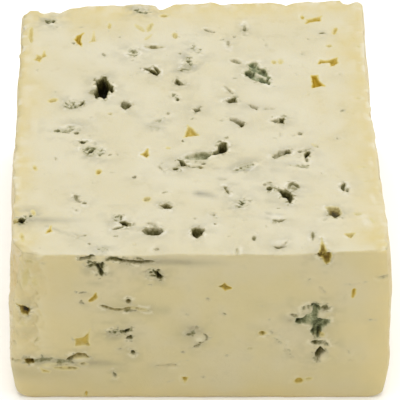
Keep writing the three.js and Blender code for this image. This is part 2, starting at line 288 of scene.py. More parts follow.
# Openings of the top, at X and Y. Those between several curds are given by their cusps. Each crack has
# its path, width and depth, then how much mould and amber lines it. So has torn curd, which is a crack
# full of crumbs. A pit has its place, length, width, turn and depth, then its lining, and a flake of
# bare curd is a pit of less than no depth, as it stands up.
TOP_GAPS = [
    # The star, the diamond and the forked crack
    gap([(-28.4, 24.4), (-27.5, 24.2), (-26.7, 20.7), (-25.3, 19.2), (-25.2, 16.8), (-25.7, 16.1),
         (-26.5, 17.2), (-27.3, 13.9), (-27.9, 12.5), (-29.4, 14), (-30.7, 13.2), (-31.6, 15.7),
         (-30.2, 19.5), (-30.9, 20.7), (-30.6, 22.5), (-28.8, 23.2)], 5.5, (0.9, 0.3), mould=1.24),
    gap([(-21.9, 12.5), (-19.6, 10.1), (-21.5, 7.6), (-23.1, 9.4), (-22.6, 11.6)], 1.8, (0.5, -0.2),
        -0.08, mould=0.78),
    # The great patch, with its thick dark rims
    gap([(16.7, 29.8), (18, 30.8), (19.5, 29.8), (19.8, 28), (20.6, 27), (21.9, 27.3), (22.3, 25.3),
         (23.6, 23.2), (22.9, 22.2), (21.2, 23.7), (19.5, 25.1), (18.5, 26.1), (16.9, 27.2)], 1.2,
        mould=0.64, blue=1),
    gap([(15.7, 26.2), (16.1, 24.3), (17.2, 22.6), (18.6, 22.6), (19.6, 21.6), (21.3, 20.5), (23.1, 19.2),
         (23.4, 20.2), (22.6, 21.5), (21.2, 23.1), (19.6, 24.5), (18.4, 25.5), (17, 26.6)], 1.2,
        mould=0.74, blue=1),
    pit(17, 25.4, 3.2, 2.8, 0, 1.8, 0.92, blue=0.8),
    # The middle
    gap([(-6.5, 20.9), (-5.5, 22.4), (-4.2, 21.1), (-2.6, 19.2), (-4.9, 19.2), (-6.3, 19.7)], 1.8,
        (-0.5, 0), mould=0.8),
    gap([(-1.2, 7.3), (1.1, 7.3), (1.4, 5.8), (0, 5.3)], 1.8, mould=0.92),
    gap([(8.8, 11), (10.7, 11.9), (12.3, 13), (13, 9.8), (10.4, 9.6)], 1.8, mould=0.88),
    gap([(15.1, 9.8), (17.2, 9), (19.5, 7.9), (18.8, 6.1), (17, 7.3)], 1.2, (0.5, -0.5), mould=0.5),
    gap([(9.8, 3), (12.5, 2.4), (14.9, 0.3), (13.8, -2.1), (11.9, -0.4), (10.1, 1.2)], 1.9, (0.5, -0.5),
        mould=0.72),
    gap([(25.4, 2.6), (27, 3), (26.7, -0.1), (25.2, 0.5)], 2.6, mould=1.1),
    gap([(22.7, 1.2), (24.2, 2.2), (25.5, 1.8), (25.3, 0.5), (24, -0.2)], 1.2, mould=0.62),
    # The cave
    gap([(6.7, -10.2), (7.6, -9), (8.9, -9.6), (9.2, -12), (8.6, -13.6), (6.6, -14.3), (4.4, -14.8),
         (4.9, -13.8), (6.3, -12.9)], 3.8, (0.3, 0.3), -0.1, mould=1.06),
    gap([(4.6, -13.2), (1.7, -13), (-0.6, -13.5), (-2.4, -14.3), (-3.8, -15.6), (-4.4, -16.7),
         (-2, -16.9), (0.6, -17.3), (2.9, -17), (4.4, -15.2)], 1.4, (0.3, 0), mould=0.5, blue=0.5),
    gap([(-5.9, -16.6), (-4.4, -17), (-3.4, -18.6), (-2.2, -19.6), (-3.2, -20.2), (-4.8, -19.9)], 2,
        mould=1.02),
    # The right
    gap([(24.7, -13.6), (27.4, -12.7), (28.4, -14.5), (26, -16.1), (23.3, -17.6), (22.3, -16)], 1.4,
        (0.4, 0), mould=0.56, amber=0.15),
    # The front right
    gap([(22.6, -30.6), (24.4, -31.3), (25.8, -31.6), (27.3, -32.3), (27.9, -34.4), (28, -36.2),
         (27.1, -38.2), (26.5, -37.4), (26.2, -35.9), (25, -35), (24.2, -33)], 2.6, (-0.4, 0.7),
        mould=1.08),
    gap([(26.6, -31.2), (27.8, -29.6), (29.5, -30.4), (29.8, -32), (28.4, -33), (27, -32.8)], 0.4,
        mould=0.68),
    gap([(37.4, -40.3), (41.2, -40.4), (42.1, -43.4), (39.6, -45.4), (38.3, -43)], 0.8, (0.2, -0.8),
        -0.02, mould=0.7, amber=0.5),
    gap([(35.5, -53.8), (36, -56.8), (36.8, -59.2), (37.2, -63), (34.3, -63), (34.5, -60), (35.2, -57)],
        1.2, (-0.9, 0), mould=0.75, amber=0.8),
    # The front left
    gap([(-16.9, -49.6), (-15.4, -51.3), (-13.4, -51.8), (-11.4, -51.5), (-10.4, -50.2), (-11, -48.5),
         (-13, -48), (-15.6, -48.3)], 2.2, (0.7, 0.1), -0.04, mould=0.82),
    gap([(-2.2, -49.6), (-0.4, -48.5), (1.2, -49.4), (1.9, -50.4), (0.6, -52.4), (-0.8, -53.6),
         (-2, -52.6)], 2.8, (-0.6, -0.2), 0, mould=0.86),
    gap([(-23.1, -45.2), (-21.6, -44.6), (-20, -46), (-20.9, -47.4), (-22.4, -46.8)], 2.6, mould=1.25),
    gap([(-11.6, -38.3), (-9.4, -37.2), (-7.3, -38.8), (-8, -40), (-10, -39.9)], 1.8, (-0.5, 0),
        mould=0.85, amber=0.3),
    gap([(-53, -44.8), (-51.8, -43.2), (-50.4, -44.2), (-51.4, -46)], 3.4, (0, 0), -0.05, mould=1.3),
    gap([(-56, -44), (-53.2, -43.6), (-52.2, -45), (-53.2, -45.8), (-56, -46.2)], 1.2, mould=0.4,
        amber=0.6),
    # The left
    gap([(-40.2, -3.6), (-39.3, -2), (-37.9, -1.2), (-36.2, -1.6), (-37.6, -2.8), (-38.6, -4.3)], 1.2,
        mould=0.5),
    # Bare and amber
    gap([(-34.7, 46.8), (-36.7, 45.3), (-37.5, 43.6), (-36.6, 41.5), (-35.3, 40.2), (-35.3, 41.4),
         (-35.9, 43.3), (-35.5, 44.9)], 1.4, amber=1, mould=0.1),
    gap([(-31.5, 47.4), (-30.8, 42.3), (-32.8, 42)], 0.8, amber=0.5),
    gap([(-50, 33.1), (-49.2, 35.3), (-47.8, 35), (-47, 37.5), (-46.4, 35), (-47.6, 34), (-48.4, 32.2)],
        1.1, amber=0.7, mould=0.06),
    gap([(-2.6, -0.6), (-1, -2.6), (0.8, -5.4), (-1.2, -5.7), (-3.7, -6.3), (-3, -3.6)], 1.3, amber=0.74,
        mould=0.03),
    gap([(-14.8, -11.7), (-14.5, -14.5), (-15.2, -15.4), (-16.7, -14.2), (-15.6, -13.3)], 1.3, amber=1,
        mould=0.3),
    gap([(36.2, 23.6), (38.1, 23.3), (38.3, 21), (40, 17.8), (38, 17.5), (36.2, 17), (36.3, 20.5)], 1.4,
        amber=0.98),
    gap([(38.8, 29.4), (39.3, 31.5), (40.9, 30.9), (42.2, 31.2), (44.7, 32.4), (45, 29.8), (43.6, 28.6),
         (42.4, 27.9), (42.4, 29.8), (40.8, 29.8)], 1.4, amber=0.85, mould=0.06),
    gap([(35.8, 50.9), (36.2, 53.2), (38.8, 54), (41.1, 54.9), (40.4, 52.3), (38, 51.6)], 1, amber=0.8),
    gap([(-43.1, -47), (-42.8, -49.2), (-44.4, -50.1), (-43.9, -48.7)], 1.1, amber=0.9, mould=0.1),
    gap([(42.4, -52), (45.4, -51.6), (44, -53.8)], 1.0, (0, -0.6), -0.04, mould=0.3, amber=0.6),
]
TOP_CRACKS = [
    # The star, the diamond and the forked crack
    ([(-21.4, 7.4), (-20.4, 5.3)], 0.8, 0.4, 0.3),
    ([(-15.6, 27.9), (-13.5, 26.6), (-11.6, 24.1)], 1.3, 2, 1.15),
    ([(-12.6, 28.6), (-11.2, 25.9), (-11.7, 24.2)], 1, 1.6, 1.05),
    # The great patch, with its thick dark rims
    ([(19.3, 29), (20, 27.4), (21.5, 26.9), (22, 25.4), (22.9, 23.4)], 1.1, 1.5, 0.8),
    ([(23, 23.4), (22.4, 21.8), (23.1, 19.8)], 1.2, 1.6, 0.9),
    ([(22.9, 20.2), (21, 21), (19.2, 22.2), (17.6, 22.9)], 1.2, 1.2, 0.84),
    ([(11.3, 31.9), (12.8, 31.3), (14.6, 30.2)], 1.7, 0.6, 0.5),
    # The middle
    ([(9.3, 18.9), (10.3, 16.9), (11.7, 14.7)], 0.9, 1.0, 0.7),
    ([(20.9, 6.8), (22.6, 7.3), (24.1, 7.3)], 1.2, 0.7, 0.42),
    ([(13.3, 0.2), (14.1, -0.7), (13.8, -1.8)], 1.1, 2.2, 0.92),
    ([(7.4, 1.1), (9.2, 1.4)], 0.9, 0.4, 0.28),
    # The cave
    ([(1.4, -13.9), (2.9, -14.8), (2.6, -16.6)], 1.6, 1.4, 0.8),
    ([(-3.8, -15.7), (-1.6, -14.5), (0.6, -13.9)], 1.1, 1, 0.62),
    ([(-4.2, -19), (-2.2, -19.9), (-0.2, -20.3), (1.6, -20.8)], 1.5, 0.5, 0.64, 0.15),
    ([(-3.6, -17.8), (0, -18.2), (2.6, -18)], 2.4, 0.2, 0.34),
    ([(-10.3, -18), (-11.4, -20), (-9.7, -23.3)], 0.9, 0.6, 0.45),
    # The right
    ([(30.8, -14), (32.6, -13.2), (34.6, -12.3)], 0.9, 0.8, 0.55),
    ([(33.9, -13.6), (33.1, -15.4), (32.4, -16.9)], 1.3, 2.6, 1.1),
    ([(32.5, -16.6), (32.7, -18), (33, -19.3)], 0.9, 0.8, 0.6),
    ([(34.7, -10.3), (36.6, -11.8)], 1.0, 0.5, 0.32, 0.3),
    ([(27.9, -5.5), (29.8, -5.9)], 1.2, 0.5, 0.35),
    ([(30.8, -4.4), (31.9, -5.6)], 1.4, 0.9, 0.62),
    # The front right
    ([(26.6, -31.7), (27.1, -29.9), (28.1, -28.9), (29, -29.6), (30, -31)], 1.5, 0.7, 0.84),
    ([(43.6, -28.9), (42.8, -30.6), (43.1, -32.4)], 1.3, 1.6, 0.78),
    ([(21.8, -45.5), (23.5, -46.1), (25.2, -45.6)], 1, 0.9, 0.95),
    ([(21.3, -56.7), (22.7, -57.2), (24.1, -56.8), (25.5, -54.5)], 1.0, 1.2, 0.82),
    ([(33.1, -51), (32.9, -54.5)], 0.9, 0.9, 0.72),
    ([(7.8, -29.7), (9.2, -33)], 1.1, 0.9, 0.9),
    ([(31.2, -20.3), (33.1, -21.9)], 1.1, 0.5, 0.35),
    # The front left
    ([(-15, -45.8), (-13.2, -46.6), (-12.2, -48.2)], 1.6, 0.6, 0.6),
    ([(-21.7, -47), (-23.3, -47.8), (-25.1, -48.6)], 0.9, 1.0, 0.75),
    ([(-22.6, -42.4), (-22.7, -44.2)], 1.0, 1.2, 0.85),
    ([(-36.3, -33), (-35.8, -35), (-34.6, -36.4)], 1.3, 0.9, 0.8),
    ([(-36.6, -49.9), (-35, -51.3), (-36, -53.1)], 0.9, 0.5, 0.55),
    ([(-35, -51.3), (-32.8, -51)], 0.8, 0.5, 0.5),
    # The left
    ([(-34.1, 11.6), (-34.8, 10.4), (-35.5, 9.4)], 1, 1.2, 1.05),
    ([(-38.6, 11.6), (-39.5, 9.2), (-37.9, 8)], 1.0, 0.8, 0.5),
    ([(-42.9, -2.8), (-41.2, -2.6)], 1.0, 0.4, 0.3),
    ([(-33, -8.5), (-30.8, -9.6)], 0.9, 0.6, 0.5),
    ([(-30.9, -11.7), (-31.6, -12.6), (-32.6, -13.4)], 1.1, 1.4, 0.95),
    ([(-42.6, -15), (-42.2, -16.6)], 0.9, 0.4, 0.32),
    ([(-24, -13.8), (-23.5, -15.2)], 0.8, 0.4, 0.32),
    ([(-12.3, 1.5), (-10.5, 2.9)], 1, 0.5, 0.45),
    ([(-14.2, -1), (-11, -2)], 0.9, 0.4, 0.42),
    # The back
    ([(-46.9, 54.4), (-46, 52.5)], 1.1, 0.9, 0.6),
    ([(-19, 37.6), (-18.6, 34.4)], 0.9, 0.7, 0.5),
    ([(-5.5, 26.4), (-3.6, 26.2), (-1.9, 26.6)], 0.9, 0.7, 0.55),
    ([(1.9, 38.3), (1.4, 35.4)], 0.9, 0.6, 0.42),
    ([(3.6, 48.5), (5.4, 47.5), (7, 47)], 1.3, 0.7, 0.62),
    ([(22.9, 40.3), (22.6, 38.2)], 0.8, 0.5, 0.36),
    ([(33.9, 35.7), (33.6, 33.8)], 0.8, 0.5, 0.36),
    ([(31.2, 25.8), (31.9, 24)], 0.8, 0.5, 0.33),
    ([(-28.7, 36.5), (-27.8, 34.7)], 0.9, 0.6, 0.45),
    ([(-15.4, 39.5), (-12.8, 39), (-9.6, 39.2)], 1.5, 0.6, 0.58, 0.3),
    # Among torn curd
    ([(12.2, -22.2), (14.4, -21.3), (16.4, -19.8)], 0.7, 0.4, 0.55),
    ([(11.6, -39.4), (13, -37.8), (12.4, -36.6)], 0.7, 0.4, 0.65),
    ([(-20.6, 36), (-19, 35.4), (-18.4, 37.2)], 0.7, 0.5, 0.7),
    ([(-3.8, 26.4), (-1.8, 26.8), (-1.2, 28.6)], 0.7, 0.5, 0.75),
    ([(-40.2, 9.4), (-38.8, 8.6), (-37.6, 9.4)], 0.8, 0.5, 0.65),
    ([(-41, -3.2), (-38.6, -2.2), (-36.8, -2)], 0.8, 0.5, 0.65),
    ([(28.4, -20.6), (31.4, -21.4), (33.4, -20.6)], 0.6, 0.3, 0.5),
    # Bare and amber
    ([(-26.6, 51.6), (-26.6, 48.8)], 1.1, 1.0, 0.07, 0.6),
    ([(-51.3, 50.4), (-51.5, 46), (-51.2, 42)], 1.2, 0.8, 0, 0.55),
    ([(45.4, 48.2), (44.4, 44.6)], 1.3, 1.1, 0.05, 0.6),
    ([(-18.4, 50.6), (-15.7, 47.2)], 1.3, 0.6, 0.2, 0.45),
    ([(-13, 51.2), (-14.4, 47.2)], 1.4, 0.6, 0.2, 0.5),
    ([(-13.2, 45.6), (-15.4, 42.9)], 1.1, 0.5, 0.2, 0.4),
    ([(-6, 46.7), (-5.7, 43.8)], 1.6, 1, 0.07, 0.5),
]
TOP_TEARS = [
    ([(-24.4, -42.8), (-23, -44.2)], 2.6, 0.4, 0.8),
    ([(-51.6, -44.2), (-50.2, -43.2), (-48.6, -42.4)], 1.6, 0.8, 0.95),
    ([(-21, 36.2), (-18.6, 37.4), (-18.2, 34.8)], 2.2, 0.5, 0.8),
    ([(-0.6, 41), (0.2, 37.5), (1.8, 36), (2.1, 39)], 1.8, 0.4, 0.65),
    ([(-2.2, 33.2), (-1.6, 30.5), (-2, 28), (-4.5, 26.3)], 2.4, 0.5, 0.85),
    ([(-40.2, 9.6), (-38.5, 10.4), (-37, 8.6)], 3.4, 0.5, 0.8),
    ([(-43.3, -2.8), (-40, -2.6), (-38, -1.8), (-35.2, -2.2)], 2.6, 0.5, 0.7),
    ([(-34.5, -11.6), (-32, -13), (-30.5, -12), (-28.6, -14.6)], 3.2, 0.5, 0.85),
    ([(11.4, -22.4), (14.4, -21.4), (16.8, -19.8)], 2.2, 0.4, 0.8),
    ([(11.4, -39.4), (13, -38), (12.6, -36.6), (14, -37.4)], 2, 0.4, 0.85),
    ([(-18.6, 59.6), (-17, 58.2), (-14.6, 57.2)], 2.4, 0.4, 0.75),
    ([(-47, 55), (-45.6, 53.4), (-43.8, 54.2)], 2.4, 0.4, 0.8),
    ([(-29.4, -57.4), (-26.4, -58.4)], 2.4, 0.3, 0.55),
    ([(-7, 15.6), (-5.6, 13)], 1.6, 0.3, 0.55),
    ([(-9.4, 3.6), (-10.8, 1.8), (-12.6, 0.6)], 1.2, 0.3, 0.5),
    ([(-14, -1.4), (-11, -2.2)], 1.2, 0.3, 0.5),
    ([(27.6, -20.4), (31, -21), (33.6, -21.6)], 1.4, 0.3, 0.5),
]
TOP_PITS = [
    (18.4, 29.7, 2.8, 1.8, 20, 1.4, 0.78), (15, 28.6, 1.6, 1, 0, 0.4, 0.35),
    (1.8, -18.9, 1, 1.5, 80, 0.9, 0.6), (0.9, -20.8, 1.8, 1.2, 20, 0.5, 0.3, 0.3),
    (-6.7, -21.3, 2.1, 1.3, 5, 1.4, 0.92), (27.3, -14.1, 2.3, 2, 70, 1.6, 0.95),
    (23.2, -16.7, 1.3, 1.8, 60, 1.4, 0.7), (30.9, -13.9, 1.3, 1.2, 0, 0.9, 0.6),
    (25.4, -5.5, 0.9, 1.8, 0, 0.6, 0.45), (21.2, -30.9, 1.7, 1.5, 20, 1.4, 0.9),
    (19.8, -29.2, 1.1, 1.3, 0, 0.9, 0.6), (39.9, -43.2, 3.4, 3, 0, 0.9, 1.1, 0.3),
    (44.2, -32.1, 0.9, 1.8, 0, 1.2, 0.7), (36.9, -45.8, 1.6, 1, 20, 0.6, 0.45),
    (7.6, -26.3, 2.7, 1, 10, 0.5, 0.4), (-18.9, -46.3, 0.9, 1.3, 0, 0.5, 0.45),
    (-33.4, -36.7, 1.2, 1, 0, 0.8, 0.75), (4.4, -42.4, 1.7, 1.6, 0, 0.7, 0.48),
    (-1.2, -44.4, 1.5, 1, 0, 0.4, 0.35), (13.2, -45, 1.6, 1.1, 30, 0.4, 0.33),
    (15.9, -53.4, 1.1, 2.1, 0, 0.7, 0.5), (10.8, -58.8, 1.1, 2.4, 0, 0.8, 0.55, 0.2),
    (-12.4, -57.9, 1.4, 1.1, 0, 0.7, 0.5), (-18.7, -25.2, 1.1, 1.2, 0, 0.8, 0.6),
    (-36.5, 8.7, 1.2, 0.9, 0, 0.5, 0.42), (-36.5, -4.1, 1.3, 1.6, 80, 0.9, 0.7),
    (-34.1, -8.6, 2, 1.2, 0, 1.2, 1.1), (-29.1, -14.7, 1.2, 1.4, 0, 0.6, 0.5),
    (-5.4, 12.5, 1, 1.3, 0, 0.8, 0.72), (-6.8, 15, 0.9, 1.2, 0, 0.4, 0.36),
    (-8.4, 5.3, 1.1, 1.2, 0, 0.5, 0.45), (-26.2, 5.7, 1.2, 1, 0, 0.6, 0.3, 0.4),
    (-44.5, 53.8, 1.2, 1.6, 0, 1.1, 0.85), (-18, 58.4, 1.4, 1, 0, 0.9, 0.75),
    (-16.6, 57.6, 1, 0.9, 0, 0.7, 0.65), (-14.9, 57.1, 1.2, 1, 0, 0.9, 0.85),
    (-1.9, 31.4, 1.1, 1.6, 80, 1, 0.82), (-1.7, 28.5, 1, 1.2, 0, 0.6, 0.5),
    (16.3, 48.6, 1, 2.7, 0, 1.1, 0.8), (10.8, 40.7, 0.9, 2.7, 0, 1, 0.62),
    (12.8, 44.4, 1.1, 1.3, 0, 0.5, 0.35), (-43.8, 12.1, 2.8, 1.6, 20, 1.1, 0, 0.6),
    (35, 54.2, 0.9, 1.5, 0, 0.8, 0.15, 0.8), (42.6, 38.4, 1.8, 1.3, 20, 0.9, 0, 0.5),
    (25, 30.5, 1.5, 1.9, 0, 0.6, 0.1, 0.5), (26.9, 30.8, 1.6, 2.6, 0, 0.6, 0.12, 0.46),
    (-9.1, 55.4, 2.4, 1.6, 5, 0.8, 0.25, 0.6), (-48.5, -19.8, 1.2, 2, 20, 0.8, 0, 0.55),
    (-29.5, -22.4, 1.4, 2, 0, 1.2, 0.07, 0.75), (-48.3, -41.3, 1, 2, 10, 0.6, 0, 0.5),
    (-51.3, -52.2, 1.1, 2.8, 10, 0.9, 0, 0.6), (-15.1, -35.6, 2.5, 1.8, 10, 1, 0.3, 0.55),
    (-8.6, -11.2, 1.3, 1.1, 0, 0.5, 0.07, 0.4), (46.5, -43.1, 2.2, 1.2, 10, 0.6, 0.25, 0.4),
    (49.9, 11.6, 1.7, 1.3, 20, 0.6, 0.2, 0.4), (51.9, 38.5, 1.2, 1.8, 30, 0.5, 0.15, 0.4),
    (49.8, -21.1, 3, 1.2, 0, 0.4, 0.1, 0.34), (50.2, -27.6, 1.4, 1.1, 0, 0.4, 0, 0.3),
    (50.6, -46, 1, 3, 25, 0.4, 0, 0.34),
]
TOP_FLAKES = [
    (23, -44.4, 3.6, 1.6, -10, -0.25), (23.2, -55.2, 3.2, 1.7, 0, -0.3),
    (48.2, -44.4, 2.2, 1.4, 20, -0.3), (52.2, -19.6, 1.2, 2, 10, -0.3), (51.6, -36.4, 1.2, 3, 10, -0.3),
    (49.2, -47.4, 1.6, 3.4, 25, -0.3),
]

# The same for the front, at X and Z
FRONT_GAPS = [
    # Along the top edge
    gap([(34.3, 60), (34.3, 56.8), (35.4, 55.2), (36.6, 52.6), (37.5, 53.6), (37.9, 55.9), (37.2, 60)],
        1.2, (-0.5, 0.2), 0, mould=0.76, amber=1),
    # The left half
    gap([(-13.6, 51.2), (-12.2, 51), (-10.7, 49.2), (-11.2, 48), (-12.4, 48.2), (-13, 49.8)], 2,
        (0.6, -0.4), 0, mould=1.2),
    gap([(-53.6, 38.2), (-51.6, 37.6), (-49.9, 36), (-50.8, 33.9), (-52.4, 34.2), (-53.2, 35.8)], 0.8,
        (0.6, 0), -0.04, mould=0.9, amber=0.8),
    gap([(-36.9, 24.6), (-34.2, 25.2), (-32.1, 28.3), (-32.7, 24.6), (-32.8, 21.8), (-36.8, 21.6)], 1,
        amber=0.7, mould=0.08),
    gap([(-22.9, 26.7), (-21.9, 27.9), (-20.5, 28.4), (-20.9, 27), (-21.8, 26.4)], 2.2, mould=1.3),
    # The needle track at the lower left
    gap([(-52.4, 16.4), (-49.6, 16.5), (-49.6, 15), (-51.2, 14.4), (-52.2, 14.8)], 1.8, (0.6, 0),
        mould=0.95, amber=0.7),
    gap([(-57, 16.2), (-53.6, 16.1), (-52.6, 15.4), (-53.8, 14.6), (-57, 14.6)], 1.2, mould=0.4,
        amber=0.3),
    # Ochre lining under the flake above it: a shallow hollow, painted as the flake's shadow
    gap([(-47.6, 13.2), (-46.6, 12.2), (-44.6, 11.4), (-44.9, 10.5), (-46.8, 11)], 0.6, mould=0.4,
        amber=0.7),
    # The middle
    gap([(5.6, 44.4), (7.3, 45.8), (8, 44.7), (9.2, 43.7), (7.4, 42.6), (6.8, 43.5)], 1.2, (0.5, 0),
        amber=0.95, mould=0.22),
    gap([(-5.4, 8.7), (-3.5, 8.6), (-3.8, 7.5), (-4.5, 6.3), (-5, 7.4)], 1.2, (0, 0), 0, amber=0.8,
        mould=0.2),
    # The great cluster on the right and the crumbs about it
    gap([(28.2, 32.1), (30.2, 32.5), (31, 33.6), (32.8, 34.3), (32.9, 37.4), (34.2, 37.7), (35.3, 37.3),
         (35.1, 34.6), (34.5, 32.5), (35.2, 32), (37.8, 31.1), (37.8, 29.6), (36.6, 28.7), (35.9, 27),
         (35.4, 25), (34.8, 23.6), (34.3, 25.8), (33, 26.1), (32.8, 27.6), (33.2, 29.2), (32.2, 29.8),
         (30, 30), (28.3, 30.1)], 1.2, mould=0.72, blue=1),
    gap([(34.4, 32.4), (36.8, 32), (38.4, 31.6), (38.4, 30), (37.4, 28.9), (35.2, 28.8)], 1.3, mould=0.74,
        blue=0.8),
    gap([(35.7, 20.8), (37.6, 19), (36.2, 17.5), (35, 15.2), (34.2, 17.4), (34.7, 19.6)], 2.2, (0.3, 0),
        -0.04, mould=0.98),
]
FRONT_CRACKS = [
    # Along the top edge
    ([(-34.6, 56), (-32, 56.5), (-29.8, 57.4)], 1.2, 1.8, 0.95),
    ([(-27.3, 55.3), (-25.8, 56), (-24.2, 56), (-21.6, 55.3)], 1.3, 0.6, 1.1),
    ([(-23.2, 55.6), (-20, 55), (-17, 54.7), (-15, 54.9), (-12.6, 55)], 1.3, 1.8, 0.94),
    ([(-18.5, 56.3), (-16, 55.5)], 0.8, 0.9, 0.7),
    ([(-30.4, 53.9), (-29.3, 53.2), (-28.7, 51.6), (-28.3, 49.6)], 1.4, 1.4, 1.2),
    ([(-32.3, 55.2), (-31, 54.4), (-30, 53.6)], 0.9, 0.8, 0.75),
    ([(-27.9, 54.9), (-28.4, 53.4), (-28.6, 51.8)], 1.2, 1.2, 1.2),
    # The left half
    ([(-30.2, 42.6), (-30.6, 40.6), (-32.2, 39.2)], 1.1, 1.4, 0.05, 0.8),
    ([(-50.2, 51.4), (-50.8, 48.1), (-51.4, 44.8)], 1.8, 0.5, 0.12, 0.4),
    ([(-48.3, 49.2), (-48.2, 45)], 1.6, 0.4, 0.12, 0.36),
    ([(-50.8, 54), (-49.4, 53.6), (-48.4, 54.2)], 1.6, 0.6, 0.2, 0.4),
    ([(-52.6, 31.6), (-52.2, 28.2)], 1.4, 0.3, 0, 0.3),
    ([(-28.6, 37.3), (-27.2, 36.7), (-25.2, 35.9), (-22.7, 35.9), (-19.6, 36.8), (-17.5, 36.1),
      (-14.8, 35.5)], 1.3, 0.5, 0.7, 0.4),
    ([(-24, 35.8), (-18.3, 35.5)], 1.2, 0.3, 0.66),
    ([(-19.8, 36.6), (-17.5, 36.1), (-14.8, 35.5)], 0.9, 0.4, 0.64, 0.3),
    ([(-49.3, 22.6), (-47.2, 25.2)], 1.0, 0.7, 0.35, 0.4),
    ([(-26.7, 27), (-22.9, 26.9)], 0.9, 0.6, 0.5),
    # The needle track at the lower left
    ([(-50, 15.7), (-46, 15.7), (-42, 15.5), (-37.6, 15.3)], 2.6, 0.4, 0.6),
    ([(-47.4, 14), (-43, 14), (-38.6, 13.9)], 1.8, 0.3, 0.36, 0.3),
    ([(-47.4, 18), (-46.6, 16.8)], 0.8, 0.4, 0.36),
    ([(-39.4, 16.1), (-37.8, 17.2), (-36, 18), (-34.4, 17.8), (-33, 16.9)], 1.8, 1.4, 0.84, 0.5),
    ([(-32.7, 16), (-31.4, 15.6)], 0.8, 0.4, 0.4),
    # Ochre streak below the ledge of the track: painted shadow
    ([(-43.4, 12.7), (-40, 12.5), (-36, 12.5)], 1.4, 0.5, 0.34, 0.5),
    ([(-25.9, 10.8), (-25.1, 8.5)], 1.1, 0.9, 0.72),
    ([(-13, 12.9), (-10, 13), (-7, 13.4)], 1.3, 0.7, 0.5),
    ([(-34, 3), (-34.1, 0.8)], 1.0, 0.9, 0.05, 0.7),
    # The middle
    ([(5.5, 44.5), (7, 44.2)], 0.8, 0.9, 0.4, 0.5),
    ([(1.2, 26.3), (2.2, 25.2), (2, 23.9), (0.8, 22.8), (-0.2, 21.9), (-1.5, 21.2)], 0.7, 0.7, 0.82),
    # Among torn curd
    ([(-21.6, 26.6), (-20.4, 25.6), (-20.2, 24.2)], 1, 1, 1.1),
    # The great cluster on the right and the crumbs about it
    ([(34.2, 35.4), (34.1, 33.6), (34.1, 31.8)], 1.8, 1.2, 0.86),
    ([(35.1, 28.7), (35, 26.8), (34.8, 24.2)], 1.5, 2.2, 0.98),
    ([(35.9, 37.2), (37, 37.1), (37.2, 36), (36.2, 35.2)], 1.3, 1.2, 0.9),
    ([(33.6, 27), (33.7, 25.1)], 1, 0.8, 0.62),
    ([(30.6, 37), (30.5, 35.4)], 1.2, 0.6, 0.74),
    ([(31.6, 37.4), (32.1, 36), (31.9, 34.8)], 1.2, 0.6, 0.8),
    ([(26.6, 33.9), (27.7, 33.2), (29, 33)], 1.2, 0.8, 0.55),
    ([(39.2, 34), (38.3, 32.4)], 0.9, 0.4, 0.3),
    ([(51.6, 47.6), (55.5, 47.3)], 0.9, 0.6, 0.35, 0.3),
    ([(42, 45.2), (45, 45.2), (49, 46)], 0.7, 0.3, 0.32),
    ([(49.4, 31), (52.2, 31)], 0.8, 0.3, 0.38),
    ([(43.6, 20.2), (44.8, 18.2)], 0.9, 0.4, 0.3, 0.2),
    ([(33, 22.4), (34.6, 22.3), (35.8, 21.8)], 1.8, 1, 0.8),
    ([(34.6, 22.4), (36.6, 22.2), (38, 21.4)], 1.8, 0.8, 0.6),
    ([(38.3, 18.4), (38, 16.4), (37.2, 15.2)], 0.7, 0.4, 0.36),
    ([(20.6, 26.9), (21.3, 26.2), (21.2, 25.4)], 0.8, 0.4, 0.7),
    ([(34.8, 44.6), (36.8, 41.8)], 1.3, 0.6, 0.4),
    ([(45, 43.5), (44.7, 40.1)], 1.0, 1.2, 0.2, 0.9),
]
FRONT_TEARS = [
    ([(-4, 25.6), (-2.4, 26.6), (-0.8, 28.8)], 2, 0.4, 0.75),
    ([(-27, 27), (-22.5, 27), (-20.5, 28)], 2, 0.4, 0.85),
    ([(-32.4, 54.4), (-29, 53), (-28.4, 49.8)], 3.2, 0.6, 0.9),
    ([(-15.4, 51.4), (-12, 49.4)], 3.6, 0.5, 0.8),
    ([(30.6, 36.4), (34, 37), (37.2, 36.2)], 2.6, 0.5, 0.85),
    ([(30.8, 36.8), (31.2, 35), (32.4, 34.8)], 2.4, 0.4, 0.8),
    ([(18.6, 26.2), (22, 23.8), (25.6, 21), (27, 17)], 1.6, 0.3, 0.42),
    ([(-50, 15.7), (-44, 15.8), (-38, 15.1)], 3, 0.4, 0.5),
    ([(33.4, 22.2), (36, 22.2), (38, 21.2)], 2.2, 0.5, 0.85),
]
